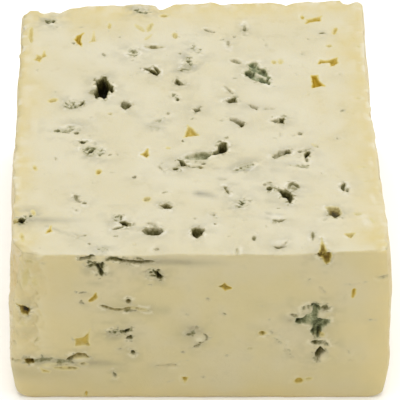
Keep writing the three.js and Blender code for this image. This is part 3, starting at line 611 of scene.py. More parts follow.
FRONT_PITS = [
    (34.9, 57, 1.8, 2.4, 0, 1.2, 1.2, 0.6), (-11.9, 51.6, 1.2, 0.9, 0, 0.7, 0.6),
    (-14.7, 52, 1.4, 0.8, 0, 0.5, 0.42), (-51, 35.8, 1.6, 1.6, 0, 0.9, 1.15, 0.6),
    (-45, 54.1, 2.2, 1.2, 10, 0.4, 0.4), (-20.8, 39.3, 1.4, 1.6, 0, 1, 0.82, 0.4),
    (-33.1, 22, 1.1, 1, 0, 0.8, 0.2, 0.6), (-20.9, 24.8, 1.5, 1.4, 0, 1.2, 0.85),
    (-19.8, 18.7, 1.3, 1.8, 0, 1.6, 1.0), (-23.5, 20, 1.5, 0.9, 0, 0.5, 0.42),
    (-38.4, 16.4, 2.4, 1.7, 30, 1.4, 0.95), (-38, 14.8, 1.6, 0.9, 0, 0.6, 0.5),
    (-34.6, 14.2, 2.6, 1.2, 0, 0.8, 0.4, 0.4), (2.5, 39.6, 1.3, 1, 0, 0.4, 0.35),
    (-3.1, 26.2, 2.5, 1.5, 10, 0.9, 0.6), (-0.8, 29, 1.1, 1.6, 0, 0.6, 0.5),
    (0.1, 22.8, 1.1, 1, 0, 0.9, 0.82), (-1.1, 21.3, 1.6, 0.9, 0, 0.6, 0.52),
    (0.9, 8.7, 1.4, 1, 0, 0.4, 0.36), (15, 19.8, 1.6, 1.1, 0, 0.4, 0.2, 0.3),
    (8, 17.3, 1.3, 0.9, 0, 0.4, 0.36), (-5, 18.8, 1.5, 1, 0, 0.4, 0.3),
    (34.1, 36.2, 2.4, 2.8, 90, 1.6, 0.92), (29.2, 31, 2, 1.8, 0, 1.8, 0.9),
    (33.4, 27, 1.2, 1.5, 60, 1.4, 0.82), (36.3, 36.4, 1.6, 1.3, 0, 0.8, 0.8),
    (26.8, 31.3, 1.3, 1.5, 0, 0.6, 0.42), (36, 25.5, 1.6, 1.6, 0, 0.5, 0.34, 0.6),
    (18.6, 26.1, 2.1, 1.5, 0, 1, 0.56, 0.7), (22.6, 23.5, 1.4, 1, 140, 0.5, 0.45),
    (25.6, 21.3, 1.1, 1, 0, 0.5, 0.48), (25.5, 19.2, 1, 1, 0, 0.4, 0.38),
    (27.5, 16.5, 1, 0.9, 0, 0.4, 0.33), (45.1, 15.6, 1.3, 1, 0, 0.4, 0.33),
    (29.7, 6.9, 2.8, 2.3, 20, 1, 0.14, 0.8), (32.5, 7.6, 2.2, 1.6, 20, 0.5, 0.1, 0.5),
]
FRONT_FLAKES = [
    (-28.6, 55.7, 1.9, 1.2, 0, -0.3), (-46.4, 56.2, 2.2, 1.2, 40, -0.4),
    (-20.7, 26.3, 1.3, 1.1, 60, -0.3), (-35.5, 16.2, 3.8, 2, 0, -0.3), (-45.2, 13.9, 2.4, 1.5, 35, -0.3),
    (0.1, 24.5, 2.8, 2.6, 0, -0.3), (35.8, 33.8, 1.9, 2.4, 0, -0.3), (31.4, 35, 2, 1.4, 30, -0.25),
    (32.7, 36, 1.2, 1.2, 0, -0.2), (30.2, 33.2, 1.6, 0.9, 10, -0.2), (36.9, 16.6, 1.8, 2.6, 160, -0.3),
    (20.1, 26.1, 1.7, 1.3, 0, -0.35),
]


def gathered(gaps, cracks, tears, pits, flakes):
    """The openings of a face from their tables."""
    narrow = [crack(*row) for row in cracks] + [crack(*row, torn=1) for row in tears]
    return gaps + narrow + [pit(*row) for row in pits + flakes]


TOP_OPENINGS = gathered(TOP_GAPS, TOP_CRACKS, TOP_TEARS, TOP_PITS, TOP_FLAKES)
FRONT_OPENINGS = gathered(FRONT_GAPS, FRONT_CRACKS, FRONT_TEARS, FRONT_PITS, FRONT_FLAKES)

# Faint streaks where the mould shows through from below, or was drawn along by the wire, and on the front
# a few bands of painted shade: the path, the width and the strength of each
TOP_SMEARS = [
    ([(-53, -44.2), (-45, -44.4), (-31, -44)], 1.4, 1.0),
    ([(-15, 39.2), (-4, 39)], 1.6, 0.45),
    ([(-44.5, -46.8), (-36, -51.8), (-30, -55.6)], 0.6, 0.55),
    ([(-0.2, -32.8), (2.8, -33.3), (7, -35.4)], 1.2, 1.1),
    ([(-4, -16), (-13, -18.4)], 2.5, 0.4),
    ([(20, 24), (11, 29)], 4, 0.35),
    ([(15, 8), (28, 6.6)], 2.2, 0.35),
    ([(24, -15), (36, -12.6)], 2.6, 0.35),
    ([(22.8, -19), (25.6, -21)], 2.2, 0.35),
    ([(27.8, -30), (29.6, -30.5), (34, -30.4)], 1.1, 0.8),
    ([(27.9, -34.3), (32, -35.2)], 0.9, 0.5),
    ([(20.6, -36.6), (26, -37.8)], 1.2, 0.5),
    ([(22.6, -22.5), (27.6, -23.2)], 1.6, 0.45),
    ([(20.3, -42.6), (22.4, -43.8)], 0.7, 0.7),
    ([(20, -44.6), (21.8, -45.6)], 0.7, 0.6),
    ([(23, -43.3), (25.8, -43.6)], 0.7, 0.5),
    ([(10.4, -21.9), (17, -19.6)], 1.2, 0.5),
    ([(5.5, -21.2), (8, -21.8)], 0.8, 0.5),
    ([(9.4, -28.5), (13.4, -28.6)], 0.7, 0.45),
    ([(6.4, -26.2), (9.4, -26.5)], 0.7, 0.6),
    ([(-22, -47), (-27.8, -50)], 1, 0.6),
    ([(-35, -3), (-30, -1.5)], 2, 0.35),
    ([(-40, 9), (-30, 12)], 2.6, 0.35),
    ([(-13, -50), (-24, -55)], 1.6, 0.35),
    ([(12, 1), (19, -4)], 2, 0.35),
    ([(-12.6, 25), (-19, 30)], 1.4, 0.5),
    ([(-12, 25), (-15, 22.4)], 1.5, 0.4),
    ([(-21, 8), (-15, 1)], 1.4, 0.35),
    ([(-12.4, 1.4), (-10, 3.4)], 0.9, 0.5),
    ([(-14.8, -0.8), (-10, -2.4)], 0.9, 0.55),
]
FRONT_SMEARS = [
    ([(-17, 54.9), (-9, 54.5), (10, 53.4)], 1.3, 1.15),
    ([(-50, 15.6), (-38, 14.9), (-22, 13.5)], 2, 1.1),
    ([(-34, 14.8), (-28, 14.2), (-20, 13)], 1.2, 0.9),
    # Broad faint darkening below the track: painted shade under its ledge
    ([(-58, 11), (-46, 11), (-30, 11)], 4, 0.5),
    # A broad faint darkening over the upper left of the front
    ([(-50, 50), (-40, 45), (-26, 40)], 8, 0.15),
    # Grey-tan painted shade under the crumbled top left corner
    ([(-51.5, 57), (-48, 55.5), (-44, 55)], 1.8, 0.5),
    ([(-15, 35.8), (-30, 36.6)], 2.4, 0.65),
    ([(-10, 35.6), (-17, 35.9)], 1.8, 0.4),
    ([(-3, 27), (3, 22)], 4.4, 0.5),
    ([(33, 34), (37, 19)], 4.4, 0.6),
    ([(29, 31), (22, 33)], 2.2, 0.6),
    ([(-22, 27), (-27, 26)], 3, 0.45),
    ([(-22, 20), (-17, 18)], 3, 0.35),
    ([(-29, 53), (-25, 49)], 3, 0.4),
    ([(-12, 49), (-17, 51)], 2.6, 0.45),
]

# Smaller flecks: curd joints that hardly opened, half of them as short curved cracks
TOP_FLECKS = (150, (-49, -59), (47, 51))  # how many, and two corners of where they are
FRONT_FLECKS = (36, (-42, 1.5), (52, 54))
FLECK_SEED = 7
FLECK_CRACKS = 0.5  # share of the flecks that are cracks
FLECK_LENGTH = (1, 3.4)
FLECK_WIDTH = 0.6  # of the cracks
FLECK_FLAT = 0.6  # how far the cracks lie level
FLECK_SIZE = (0.6, 1.6)  # of the pits
FLECK_NARROW = (0.4, 0.8)  # their width as a share of that
FLECK_DEPTH = (0.1, 0.5)
FLECK_MOULD = (0.25, 0.6)
FLECK_AMBER = (0.05, 0.25)
FLECK_TINGE = 0.2  # most mould in a pit


def share_of(limits, share):
    """The value that lies at a share of the way from the lower limit to the upper one."""
    return limits[0] + (limits[1] - limits[0]) * share


def flecks(count, low, high, draw):
    """Small cracks and pits at seeded places between two corners, most of them small and faint."""
    found = []
    for _ in range(count):
        at = draw.uniform(low, high)
        turn = draw.uniform(0, 2 * math.pi)
        faint, small, lean = draw.random(3) ** 2
        depth = share_of(FLECK_DEPTH, faint)
        if draw.random() < FLECK_CRACKS:
            level = np.array([math.cos(turn), FLECK_FLAT * math.sin(turn)])
            along = share_of(FLECK_LENGTH, small) / 2 * level
            bend = lean * np.array([-along[1], along[0]])
            path = [at - along, at + bend, at + along]
            found.append(crack(path, FLECK_WIDTH, depth, share_of(FLECK_MOULD, faint)))
        else:
            length = share_of(FLECK_SIZE, small)
            width = length * draw.uniform(*FLECK_NARROW)
            lining = FLECK_TINGE * lean, share_of(FLECK_AMBER, faint)
            found.append(pit(*at, length, width, math.degrees(turn), depth, *lining))
    return found


fleck_draw = np.random.default_rng(FLECK_SEED)
TOP_OPENINGS += flecks(*TOP_FLECKS, fleck_draw)
FRONT_OPENINGS += flecks(*FRONT_FLECKS, fleck_draw)

# How the outlines, walls and floors of openings are shaped
MARGIN = 4  # how far outside an opening anything of it is felt
FAR = 1e3  # distance where no opening is near
RAGGED = ((0.18, 1.5), (0.07, 0.6))  # how far the outlines stray, and over what length
RAGGED_SEED = 11
GROW = 0.2  # how far the linings reach outside the stated outlines
SHELF = 0.3  # width of the lined shelf between that reach and the wall
WALL = 1.1  # how far in from its outline a gap reaches its full depth
FALL_LIMITS = (0.25, 1.6)  # least and most depth on a falling floor, as shares of the stated one
FLAKE_FOOT = 0.2  # how far outside its outline a flake starts to rise
CRUMB_LENGTHS = (1.0, 0.5)  # sizes of the crumbs of torn curd, along the face's first axis
CRUMB_SHAPE = (1, 1.5)  # they are longer than wide
CRUMB_SEED = 19
CRUMB_LIMITS = (-0.15, 0.4)  # noise of a crumb and of a joint between crumbs
TEAR_BAND = 0.4  # how far in from its outline a tear counts as edge

# How mould and whey line them. Limits are where something starts and where it is full
CLEAR = 0.5  # mould or amber from which an opening is a clear one
SOFT = (1.8, 1.05)  # width over which thin and thick linings fade out
SOFT_LINING = (0.3, 1)  # what counts as thin and as thick
SOFT_AMBER = 0.9  # how much amber counts beside mould there
THIN_RIM = 0.55  # share of the mould of an opening that grows at its outline
THIN_LIMITS = (-0.1, 0.9)  # from how far outside, to how much of the wall, it thickens
# Where the floor is deeper the mould is darker: partly thicker mould, partly painted shade
FALL_MOULD_AND_SHADE = 0.55  # share of the mould that is thicker where the floor is deeper
FALL_MOST = 1.1
PATCHY = 0.5  # share of a lining that comes and goes
PATCHY_NOISE = (1.6, 13)
PATCHY_LIMITS = (-0.2, 0.7)
PATCHY_KEPT = ((0.6, 1), (1, 0.2))  # mould, and how far it still comes and goes
TORN_HAZE = 0.3  # share of the mould of torn curd that lies on its crumbs too
TORN_BLUE = 0.25
FRINGE = 0.4  # share of the mould on the crumbs round an opening
FRINGE_REACH = 1.3
FRINGE_LIMITS = (0.4, 0.9)
CLOUD = 0.6  # share of the mould that shows through the paste round an opening
CLOUD_REACH = 2.8
CLOUD_LIMITS = (0.15, 0.6)
DRIFT_NOISE = (2.2, 37)  # the cloud comes and goes by two noises, the broad one drawn out
DRIFT_FINE = (0.9, 39)
DRIFT_SHAPE = (0.6, 1)
DRIFT_LIMITS = (-0.7, 0.9)
FINE_SHARE = 0.6  # of the finer of two noises
# The pale rims of openings, the bright crumbs of torn curd and flakes are painted highlight
HIGHLIGHT_REACH = 0.5  # width of the bright broken rim of an opening
HIGHLIGHT_START = 0.3  # how far outside the outline it has come up
HIGHLIGHT_LIMITS = (0.2, 1)
HIGHLIGHT_AMBER = 0.5  # how much amber counts beside mould there
TORN_HIGHLIGHT = 0.4  # how bright torn crumbs are beside the rims of other openings
FLAKE_BARE = 0.85  # share of the mould that a raised flake covers


def lay_openings(points, openings):
    """What the openings do at points of a face: the signed distance from the nearest outline and from
    the nearest clear one, the depth, the mould, its blue bloom and the amber of their linings, how far
    the mould shows through beside them, and the painted highlight on their rims. A wall drops steeply
    as a cubic, to a floor that falls one way. Mould thickens from the outline to the middle and to where
    the floor is deepest, and is darker there, partly as painted shade; it sits on the crumbs outside. A
    torn opening is all crumbs, with the mould between them, and its crumbs carry painted highlight. A
    flake stands up instead, as a cushion, and is all painted highlight."""
    names = ("depth", "lift", "mould", "blue", "amber", "cloud", "pale_highlight", "flake")
    laid = {name: np.zeros(len(points)) for name in names}
    distance, clear = np.full((2, len(points)), FAR)
    ragged = sum(size * noise(points, length, RAGGED_SEED) for size, length in RAGGED) - GROW
    patchy = 1 - PATCHY * smooth(noise(points, *PATCHY_NOISE), *PATCHY_LIMITS)
    broad, fine = (noise(points * np.array(CRUMB_SHAPE), length, CRUMB_SEED) for length in CRUMB_LENGTHS)
    joint = smooth(broad + FINE_SHARE * fine, *CRUMB_LIMITS)
    drifts = noise(points * np.array(DRIFT_SHAPE), *DRIFT_NOISE) + FINE_SHARE * noise(points, *DRIFT_FINE)
    drift = smooth(drifts, *DRIFT_LIMITS)
    for opening in openings:
        low, high, depth = opening["low"], opening["high"], opening["depth"]
        near = np.flatnonzero(((points > low - MARGIN) & (points < high + MARGIN)).all(axis=1))
        spot, between = points[near], joint[near]
        away = opening["distance"](spot) + ragged[near]
        outside = np.clip(away, 0, None)
        span = np.linalg.norm(high - low) / 2
        wall = min(WALL, span / 2)
        lined, bare, torn = (opening.get(name, 0) for name in ("mould", "amber", "torn"))
        soft = np.interp(max(lined, SOFT_AMBER * bare), SOFT_LINING, SOFT)
        soft = min(soft, opening.get("narrow", SOFT[0]))
        inside = smooth(-away, -soft / 2, soft / 2)
        fall = 1 + (spot - (low + high) / 2) @ np.array(opening.get("fall", (0, 0))) / span
        fall = np.clip(fall, *FALL_LIMITS)
        sunk = 1 - (1 - np.clip((-away - SHELF) / wall, 0, 1)) ** 3
        grown_and_shaded = THIN_RIM + (1 - THIN_RIM) * smooth(-away, THIN_LIMITS[0], THIN_LIMITS[1] * wall)
        grown_and_shaded = grown_and_shaded * np.clip(1 + FALL_MOULD_AND_SHADE * (fall - 1), 0, FALL_MOST)
        kept = 1 - (1 - patchy[near]) * np.interp(lined, *PATCHY_KEPT)
        filled = 1 - torn * (1 - TORN_HAZE) * (1 - between)
        fringe = FRINGE * between * np.exp(-(outside / FRINGE_REACH) ** 2) * smooth(lined, *FRINGE_LIMITS)
        through = drift[near] * np.exp(-outside / CLOUD_REACH) * smooth(lined, *CLOUD_LIMITS)
        rim_highlight = np.exp(-((away - HIGHLIGHT_REACH) / HIGHLIGHT_REACH) ** 2) * smooth(away, 0, HIGHLIGHT_START)
        rim_highlight = rim_highlight * smooth(lined + HIGHLIGHT_AMBER * bare, *HIGHLIGHT_LIMITS)
        for name, value in (
            ("depth", depth * sunk * fall * filled),
            ("lift", -depth * smooth(-away, -FLAKE_FOOT, wall)),
            ("mould", lined * np.maximum(inside * grown_and_shaded * kept * filled, fringe)),
            ("blue", opening.get("blue", TORN_BLUE * torn) * inside),
            ("amber", bare * inside),
            ("cloud", CLOUD * (1 + torn) * lined * through),
            ("pale_highlight", rim_highlight + TORN_HIGHLIGHT * torn * inside * (1 - between)),
            ("flake", inside * (depth < 0)),
        ):
            laid[name][near] = np.maximum(laid[name][near], value)
        edge = np.maximum(away, -TEAR_BAND) if torn else away
        distance[near] = np.minimum(distance[near], edge)
        if max(lined, bare) >= CLEAR:
            clear[near] = np.minimum(clear[near], edge)
    laid["mould"] *= 1 - FLAKE_BARE * laid["flake"]
    laid["pale_highlight"] = np.maximum(laid["pale_highlight"], laid["flake"])
    return {**laid, "distance": distance, "clear": clear}


def lay_smears(points, smears):
    """How strong the streaks are at points of a face: each falls off as a bell curve of the distance
    from its path, and fades towards the end of it."""
    strength = np.zeros(len(points))
    for path, width, most in smears:
        path = np.array(path, float)
        away, share = to_sides(points, path[:-1], path[1:])
        nearest = away.argmin(axis=1)[:, None]
        run = (nearest + np.take_along_axis(share, nearest, 1))[:, 0] / (len(path) - 1)
        strength = np.maximum(strength, most * (1 - run ** 2) * np.exp(-(away.min(axis=1) / width) ** 2))
    return strength


# The rind: skin that dried on the loaf, cream coloured and wrinkled, with the holes of the needles
# that let air in to the mould. The needles went in from both sides, in rows one above the other.
NEEDLE_ROWS = (15.5, 36)
NEEDLE_PITCH = 16.5
NEEDLE_FIRST = -44.5
NEEDLE_LAST = DEPTH / 2 - 6
NEEDLE_STRAY = 1.6
NEEDLE_SIZE = (2.4, 1.92)
NEEDLE_DEPTH = 2.2
NEEDLE_LINING = (0.5, 0.7)  # mould and amber


def needle_holes(first, rows, draw):
    """Rows of round holes in a side, at Y and Z, each strayed a little by a seeded draw."""
    holes = []
    for z in rows:
        for y in np.arange(first, NEEDLE_LAST, NEEDLE_PITCH):
            at = np.array([y, z]) + draw.uniform(-NEEDLE_STRAY, NEEDLE_STRAY, 2)
            holes.append(pit(*at, *NEEDLE_SIZE, draw.uniform(0, 180), NEEDLE_DEPTH, *NEEDLE_LINING))
    return holes


LEFT_HOLES = needle_holes(NEEDLE_FIRST, NEEDLE_ROWS, fleck_draw)
RIGHT_HOLES = needle_holes(NEEDLE_FIRST + NEEDLE_PITCH / 2, NEEDLE_ROWS[1:], fleck_draw)


# The mesh of the whole block: a closed lattice on a plain box, split finer on all faces but the foot
# and finer again at the openings, then carried onto the block and sunk where something is missing.
LATTICE = (52, 57, 27)
FACE_NEAR = 1e-6  # how near a face a point counts as on it
OUTLINE_BANDS = (("distance", 1.2), ("clear", 0.7))  # how far from outlines each splitting reaches
EDGE_BAND = 1  # how far from the edges the first of them does
CORNER_REACH = (13, 6)  # how far from the left front corner its flakes start, and are full
CORNER_FOOT = (8, 30)  # the same upwards from the foot
CORNER_TOP = (5, 0.6)  # how far below the top they fade, and by what share
CORNER_SPLIT = 0.2  # share of the flaking from which it is split finer

# The faces that have openings: the axis across each and its side, and its own two axes
FACES = (
    (2, 1, [0, 1], TOP_OPENINGS, TOP_SMEARS),
    (1, -1, [0, 2], FRONT_OPENINGS, FRONT_SMEARS),
    (0, -1, [1, 2], LEFT_HOLES, []),
    (0, 1, [1, 2], RIGHT_HOLES, []),
)


def lattice():
    """The points and triangles of a box: a grid of two parameters on each face, with the points that
    faces share counted once, and the diagonals turned alternately."""
    squares = []
    for axis, end in itertools.product(range(3), (0, 1)):
        first, second = [a for a in range(3) if a != axis]
        a, b = np.meshgrid(np.arange(LATTICE[first]), np.arange(LATTICE[second]), indexing="ij")
        square = np.zeros(a.shape + (4, 3), np.int64)
        for corner, (da, db) in enumerate(((0, 0), (1, 0), (1, 1), (0, 1))):
            turned = (corner + (a + b)) % 4
            np.put_along_axis(square[..., first], turned[..., None], (a + da)[..., None], axis=2)
            np.put_along_axis(square[..., second], turned[..., None], (b + db)[..., None], axis=2)
        square[..., axis] = LATTICE[axis] * end
        outward = (axis != 1) == (end == 1)
        squares.append((square if outward else square[:, :, ::-1]).reshape(-1, 4, 3))
    steps, index = np.unique(np.concatenate(squares).reshape(-1, 3), axis=0, return_inverse=True)
    corners = index.reshape(-1, 4)
    triangles = np.concatenate([corners[:, [0, 1, 2]], corners[:, [0, 2, 3]]])
    share = steps / np.array(LATTICE)
    return (share - np.array([0.5, 0.5, 0])) * np.array([WIDTH, DEPTH, HEIGHT]), triangles


def split(points, triangles, marked):
    """Splits the marked triangles in four at the middles of their sides, and the triangles beside
    them in two or three, so that the mesh stays closed."""
    ends = np.sort(triangles[:, [[0, 1], [1, 2], [2, 0]]], axis=2)
    keys, where = np.unique(ends[..., 0] * len(points) + ends[..., 1], return_inverse=True)
    where = where.reshape(-1, 3)
    cut = np.zeros(len(keys), bool)
    cut[where[marked]] = True
    middle = np.where(cut, len(points) + np.cumsum(cut) - 1, -1)[where]
    pairs = np.stack([keys[cut] // len(points), keys[cut] % len(points)], axis=1)
    points = np.concatenate([points, points[pairs].mean(axis=1)])
    count = (middle >= 0).sum(axis=1)

    def rolled(chosen, start):
        """The corners and the middles of the chosen triangles, counted from that side on."""
        order = (start[:, None] + np.arange(3)) % 3
        return [np.take_along_axis(rows[chosen], order, 1).T for rows in (triangles, middle)]
    one, two, three = count == 1, count == 2, count == 3
    (a, b, c), (ab, _, _) = rolled(one, np.argmax(middle[one] >= 0, axis=1))
    parts = [triangles[count == 0], np.stack([a, ab, c], 1), np.stack([ab, b, c], 1)]
    (a, b, c), (_, bc, ca) = rolled(two, np.argmin(middle[two], axis=1))
    parts += [np.stack([a, b, bc], 1), np.stack([a, bc, ca], 1), np.stack([ca, bc, c], 1)]
    (a, b, c), (ab, bc, ca) = triangles[three].T, middle[three].T
    parts += [np.stack(corners, 1) for corners in ((a, ab, ca), (ab, b, bc), (ca, bc, c), (ab, bc, ca))]
    return points, np.concatenate(parts)


def on_face(box, axis, side):
    """Which points of the plain box lie on one of its faces."""
    ends = np.array([[-WIDTH / 2, -DEPTH / 2, 0], [WIDTH / 2, DEPTH / 2, HEIGHT]])
    return np.abs(box[:, axis] - ends[(side + 1) // 2, axis]) < FACE_NEAR


def outline_distance(box, kind):
    """Signed distance of points from the nearest outline on their faces."""
    formed = form_block(box)
    distance = np.full(len(box), FAR)
    for axis, side, axes, openings, _ in FACES:
        face = on_face(box, axis, side)
        distance[face] = np.minimum(distance[face], lay_openings(formed[face][:, axes], openings)[kind])
    return distance


def at_corner(points):
    """How far points belong to the flaked left corner of the front: 1 on it, 0 away from it or low
    down, and between them near the top."""
    reach = WIDTH / 2 + DEPTH / 2 + points[:, 0] + points[:, 1]
    below_top = 1 - CORNER_TOP[1] * smooth(points[:, 2], HEIGHT - CORNER_TOP[0], HEIGHT)
    return smooth(reach, *CORNER_REACH) * smooth(points[:, 2], *CORNER_FOOT) * below_top


box, triangles = lattice()
box, triangles = split(box, triangles, box[triangles][:, :, 2].max(axis=1) > 0)
for step, (kind, band) in enumerate(OUTLINE_BANDS):
    middles = box[triangles].mean(axis=1)
    marked = np.abs(outline_distance(middles, kind)) < band
    if step == 0:
        x, y, z = middles.T
        to_faces = np.sort([WIDTH / 2 - np.abs(x), DEPTH / 2 - np.abs(y), HEIGHT - z], axis=0)
        marked |= (to_faces[1] < EDGE_BAND) & (z > EDGE_BAND)
        marked |= at_corner(middles) > CORNER_SPLIT
    box, triangles = split(box, triangles, marked)

# What is missing from each face, and what lines it
LIP = 0.12  # how far the curd stands up beside an opening
LIP_PLACE = (0.35, 0.3)  # how far outside it, and how wide the lip is
LIP_NOISE = (2, 5)
# The pale rims and flakes are painted highlight, broken up by two noises
HIGHLIGHT_NOISE = (2.4, 7)  # rims come and go by two noises
HIGHLIGHT_FINE = (1, 8)
HIGHLIGHT_FINE_SHARE = 0.5
HIGHLIGHT_KEPT = (-0.1, 0.7)
FLAKE_HIGHLIGHT = 0.6  # how much of a flake is always pale

form = form_block(box)
place = form.copy()
finish = {name: np.zeros(len(box)) for name in ("mould", "amber", "blue", "smear", "pale_highlight")}


def lay(name, value, where=slice(None)):
    """Raises one of the values that the finish is mixed from, wherever the new one is more."""
    finish[name][where] = np.maximum(finish[name][where], value)


for axis, side, axes, openings, smears in FACES:
    face = on_face(box, axis, side)
    spots = form[face][:, axes]
    laid = lay_openings(spots, openings)
    lip = LIP * np.exp(-((laid["distance"] - LIP_PLACE[0]) / LIP_PLACE[1]) ** 2)
    lip = lip * (1 + noise(spots, *LIP_NOISE)) / 2
    place[face, axis] += side * (laid["lift"] + lip - laid["depth"])
    for name in ("mould", "amber", "blue"):
        lay(name, laid[name], face)
    lay("smear", np.maximum(lay_smears(spots, smears), laid["cloud"]), face)
    # Painted highlight, pale, on the broken rims of openings and on flakes
    highlight_breaks = noise(spots, *HIGHLIGHT_NOISE) + HIGHLIGHT_FINE_SHARE * noise(spots, *HIGHLIGHT_FINE)
    lay("pale_highlight", np.maximum(FLAKE_HIGHLIGHT * laid["flake"], laid["pale_highlight"] * smooth(highlight_breaks, *HIGHLIGHT_KEPT)), face)

# The wrinkles of the rind
LUMPS = ((0.3, 10), (0.12, 4))  # height and length of the unevenness of the rind
LUMP_SEED = 17
CREASES = ((0.45, 14, 0.12), (0.3, 6.5, 0.16))  # depth, spacing and sharpness of its creases
CREASE_SHAPE = (0.7, 0.7, 1)  # creases run along the loaf
CREASE_SEED = 43
BREAK_SPACING = 1.4  # of the breaks in creases, as a share of their own spacing
BREAK_SEED = 47
BREAK_LIMITS = (-0.2, 0.5)
WANDERS = ((6, 13, (81, 83, 87)), (2, 13 / 3, (89, 91, 93)))  # how far they wander, length and seeds
SLANT = ((0.8, 0.5, -0.33), (-0.36, 0.85, 0.39), (0.48, -0.19, 0.86))  # turns the noise off the axes
RIND_FADES = ((0.5, 6), (0, 3), (0, 3))  # where wrinkles fade towards the foot, the top and the front
RIND_SET = 0.3  # how far the rind has dried in

top, front, foot = on_face(box, 2, 1), on_face(box, 1, -1), on_face(box, 2, -1)
left, right, back = on_face(box, 0, -1), on_face(box, 0, 1), on_face(box, 1, 1)
on_rind = (left | right | back) & ~top & ~front
outward = np.stack([1.0 * right - left, 1.0 * back, 0 * right], axis=1)
lump = sum(size * noise(form, length, LUMP_SEED) for size, length in LUMPS)
wander = sum(size * np.stack([noise(form, length, seed) for seed in seeds], axis=1)
             for size, length, seeds in WANDERS)
bent = (form + wander) @ np.array(SLANT) * np.array(CREASE_SHAPE)
folds = np.max([depth * smooth(-np.abs(noise(bent, spacing, CREASE_SEED)), -sharp, 0)
                * smooth(noise(bent, BREAK_SPACING * spacing, BREAK_SEED), *BREAK_LIMITS)
                for depth, spacing, sharp in CREASES], axis=0)
ends = form[:, 2], HEIGHT - form[:, 2], DEPTH / 2 + form[:, 1]
kept = math.prod(smooth(away, *limits) for away, limits in zip(ends, RIND_FADES))
place[on_rind] += (outward * ((lump - folds) * kept - RIND_SET)[:, None])[on_rind]

# The unevenness of the cuts
PASTE_WAVES = ((0.12, 7), (0.06, 2.6))  # its height and length
WAVE_SEED = 23

wave = sum(size * noise(form, length, WAVE_SEED) for size, length in PASTE_WAVES)
place[top, 2] += wave[top]
place[front, 1] += wave[front]

# The flaked corner, painted darker and olive where most is lost, as shade in its hollows, and pale
# where little is, as highlight on its ridges
CORNER_FLAKES = ((1.6, 4.2), (1, 1.8))  # depth and length of the flakes that are lost
CORNER_SEED = 31
CORNER_SHAPE = (1, 1, 0.7)  # flakes are upright
CORNER_WANDER = 0.4
CORNER_SLOPE = 0.7  # share of a loss that goes in along X, and along Y
CORNER_SHADE_AND_HIGHLIGHT = (  # the most of each value, and the loss at which it starts and is full
    ("amber", 0.2, (0.8, 1.8)),
    ("smear", 0.25, (1.1, 1.7)),
    ("pale_highlight", 0.6, (0.7, 0.2)),
)

flaked = at_corner(form)
scaly = (form + CORNER_WANDER * wander) @ np.array(SLANT) * np.array(CORNER_SHAPE)
lost = flaked * sum(size * np.abs(noise(scaly, length, CORNER_SEED)) for size, length in CORNER_FLAKES)
# Painted shade, amber and smear, in the deepest losses, and painted highlight, pale, on the ridges
for name, most, limits in CORNER_SHADE_AND_HIGHLIGHT:
    lay(name, most * flaked * smooth(lost, *limits))
place[:, :2] += CORNER_SLOPE * lost[:, None]

# How near the rind lies: the paste is yellow up to so far from the left, right and back of the top,
# and from the left, right and foot of the front
RIND_SHOWS = ((5.5, 8, 9), (14, 8, 6))
FOOT_CLEAR = 2  # how much farther than it lies the foot counts
YELLOW_NOISE = (9, 41)
YELLOW_STRAY = 0.5
YELLOW_POWER = 1.5

to_left, to_right, to_back = WIDTH / 2 + box[:, 0], WIDTH / 2 - box[:, 0], DEPTH / 2 - box[:, 1]
from_sides = np.stack([to_left, to_right, np.where(top, to_back, box[:, 2] + FOOT_CLEAR)], axis=1)
from_rind = (from_sides / np.where(top[:, None], *np.array(RIND_SHOWS))).min(axis=1)
from_rind = from_rind * (1 + YELLOW_STRAY * noise(form, *YELLOW_NOISE))
finish["yellow"] = np.where(top | front, np.exp(-np.clip(from_rind, 0, None) ** YELLOW_POWER), 1)

# Crumbs along the top edges of the rind, amber and pale, the pale ones painted highlight, and the
# roughness of the borders within them, painted amber in its dips as shade and pale on its bumps as
# highlight
CRUMB_REACH = 2.4
CRUMB_AMBER_AND_HIGHLIGHT = (  # the most of each value, and the shape, the noise and the limits of its crumbs
    ("amber", 0.16, (1, 0.6, 1), (1.7, 71), (0.1, 0.6)),
    ("pale_highlight", 1, (1, 1, 1), (1.9, 73), (0.15, 0.6)),
)
BORDER_REACH = 6
BORDER_HEIGHT = 0.3
BORDER_SHAPE = (1, 0.7, 1)
BORDER_NOISE = (2.6, 75)
BORDER_SHADE_AND_HIGHLIGHT = (("amber", 0.14, (-0.15, -0.6)), ("pale_highlight", 0.45, (0.1, 0.7)))

to_edge = np.min([to_left, to_right, to_back], axis=0)
crumbs = top * np.exp(-(to_edge / CRUMB_REACH) ** 2)
borders = top * np.exp(-(to_edge / BORDER_REACH) ** 2)
rough = noise(form * np.array(BORDER_SHAPE), *BORDER_NOISE)
place[top, 2] += (BORDER_HEIGHT * borders * rough)[top]
for name, most, shape, grains, limits in CRUMB_AMBER_AND_HIGHLIGHT:
    lay(name, most * crumbs * smooth(noise(form * np.array(shape), *grains), *limits))
# Painted shade, amber, in the dips of the rough border, and painted highlight, pale, on its bumps
for name, most, limits in BORDER_SHADE_AND_HIGHLIGHT:
    lay(name, most * borders * smooth(rough, *limits))

# Painted light along three of the edges: painted shade, as smear, along the left edge of the top,
# which turns from the light, and painted highlight, pale, along the right edge of the top and the
# left edge of the front. Each row gives a value, a face, the distance from its edge, how strong and how
# wide
for name, face, away, most, width in (
    ("smear", top, to_left, 0.3, 1.1),
    ("pale_highlight", top, to_right, 0.5, 1.5),
    ("pale_highlight", front, to_left, 0.4, 2.6),
):
    lay(name, most * face * np.exp(-(away / width) ** 2))

# Painted warm shade: the front face takes its own darker, yellower copies of the paste colours
finish["front_lit"] = 1.0 * front
finish["rind"] = 1.0 * (on_rind | foot)
# The creases of the rind, painted darker as shade
finish["crease_shade"] = folds / CREASES[0][0] * kept

# The mesh as a piece, in metres
MILLIMETRE = 0.001

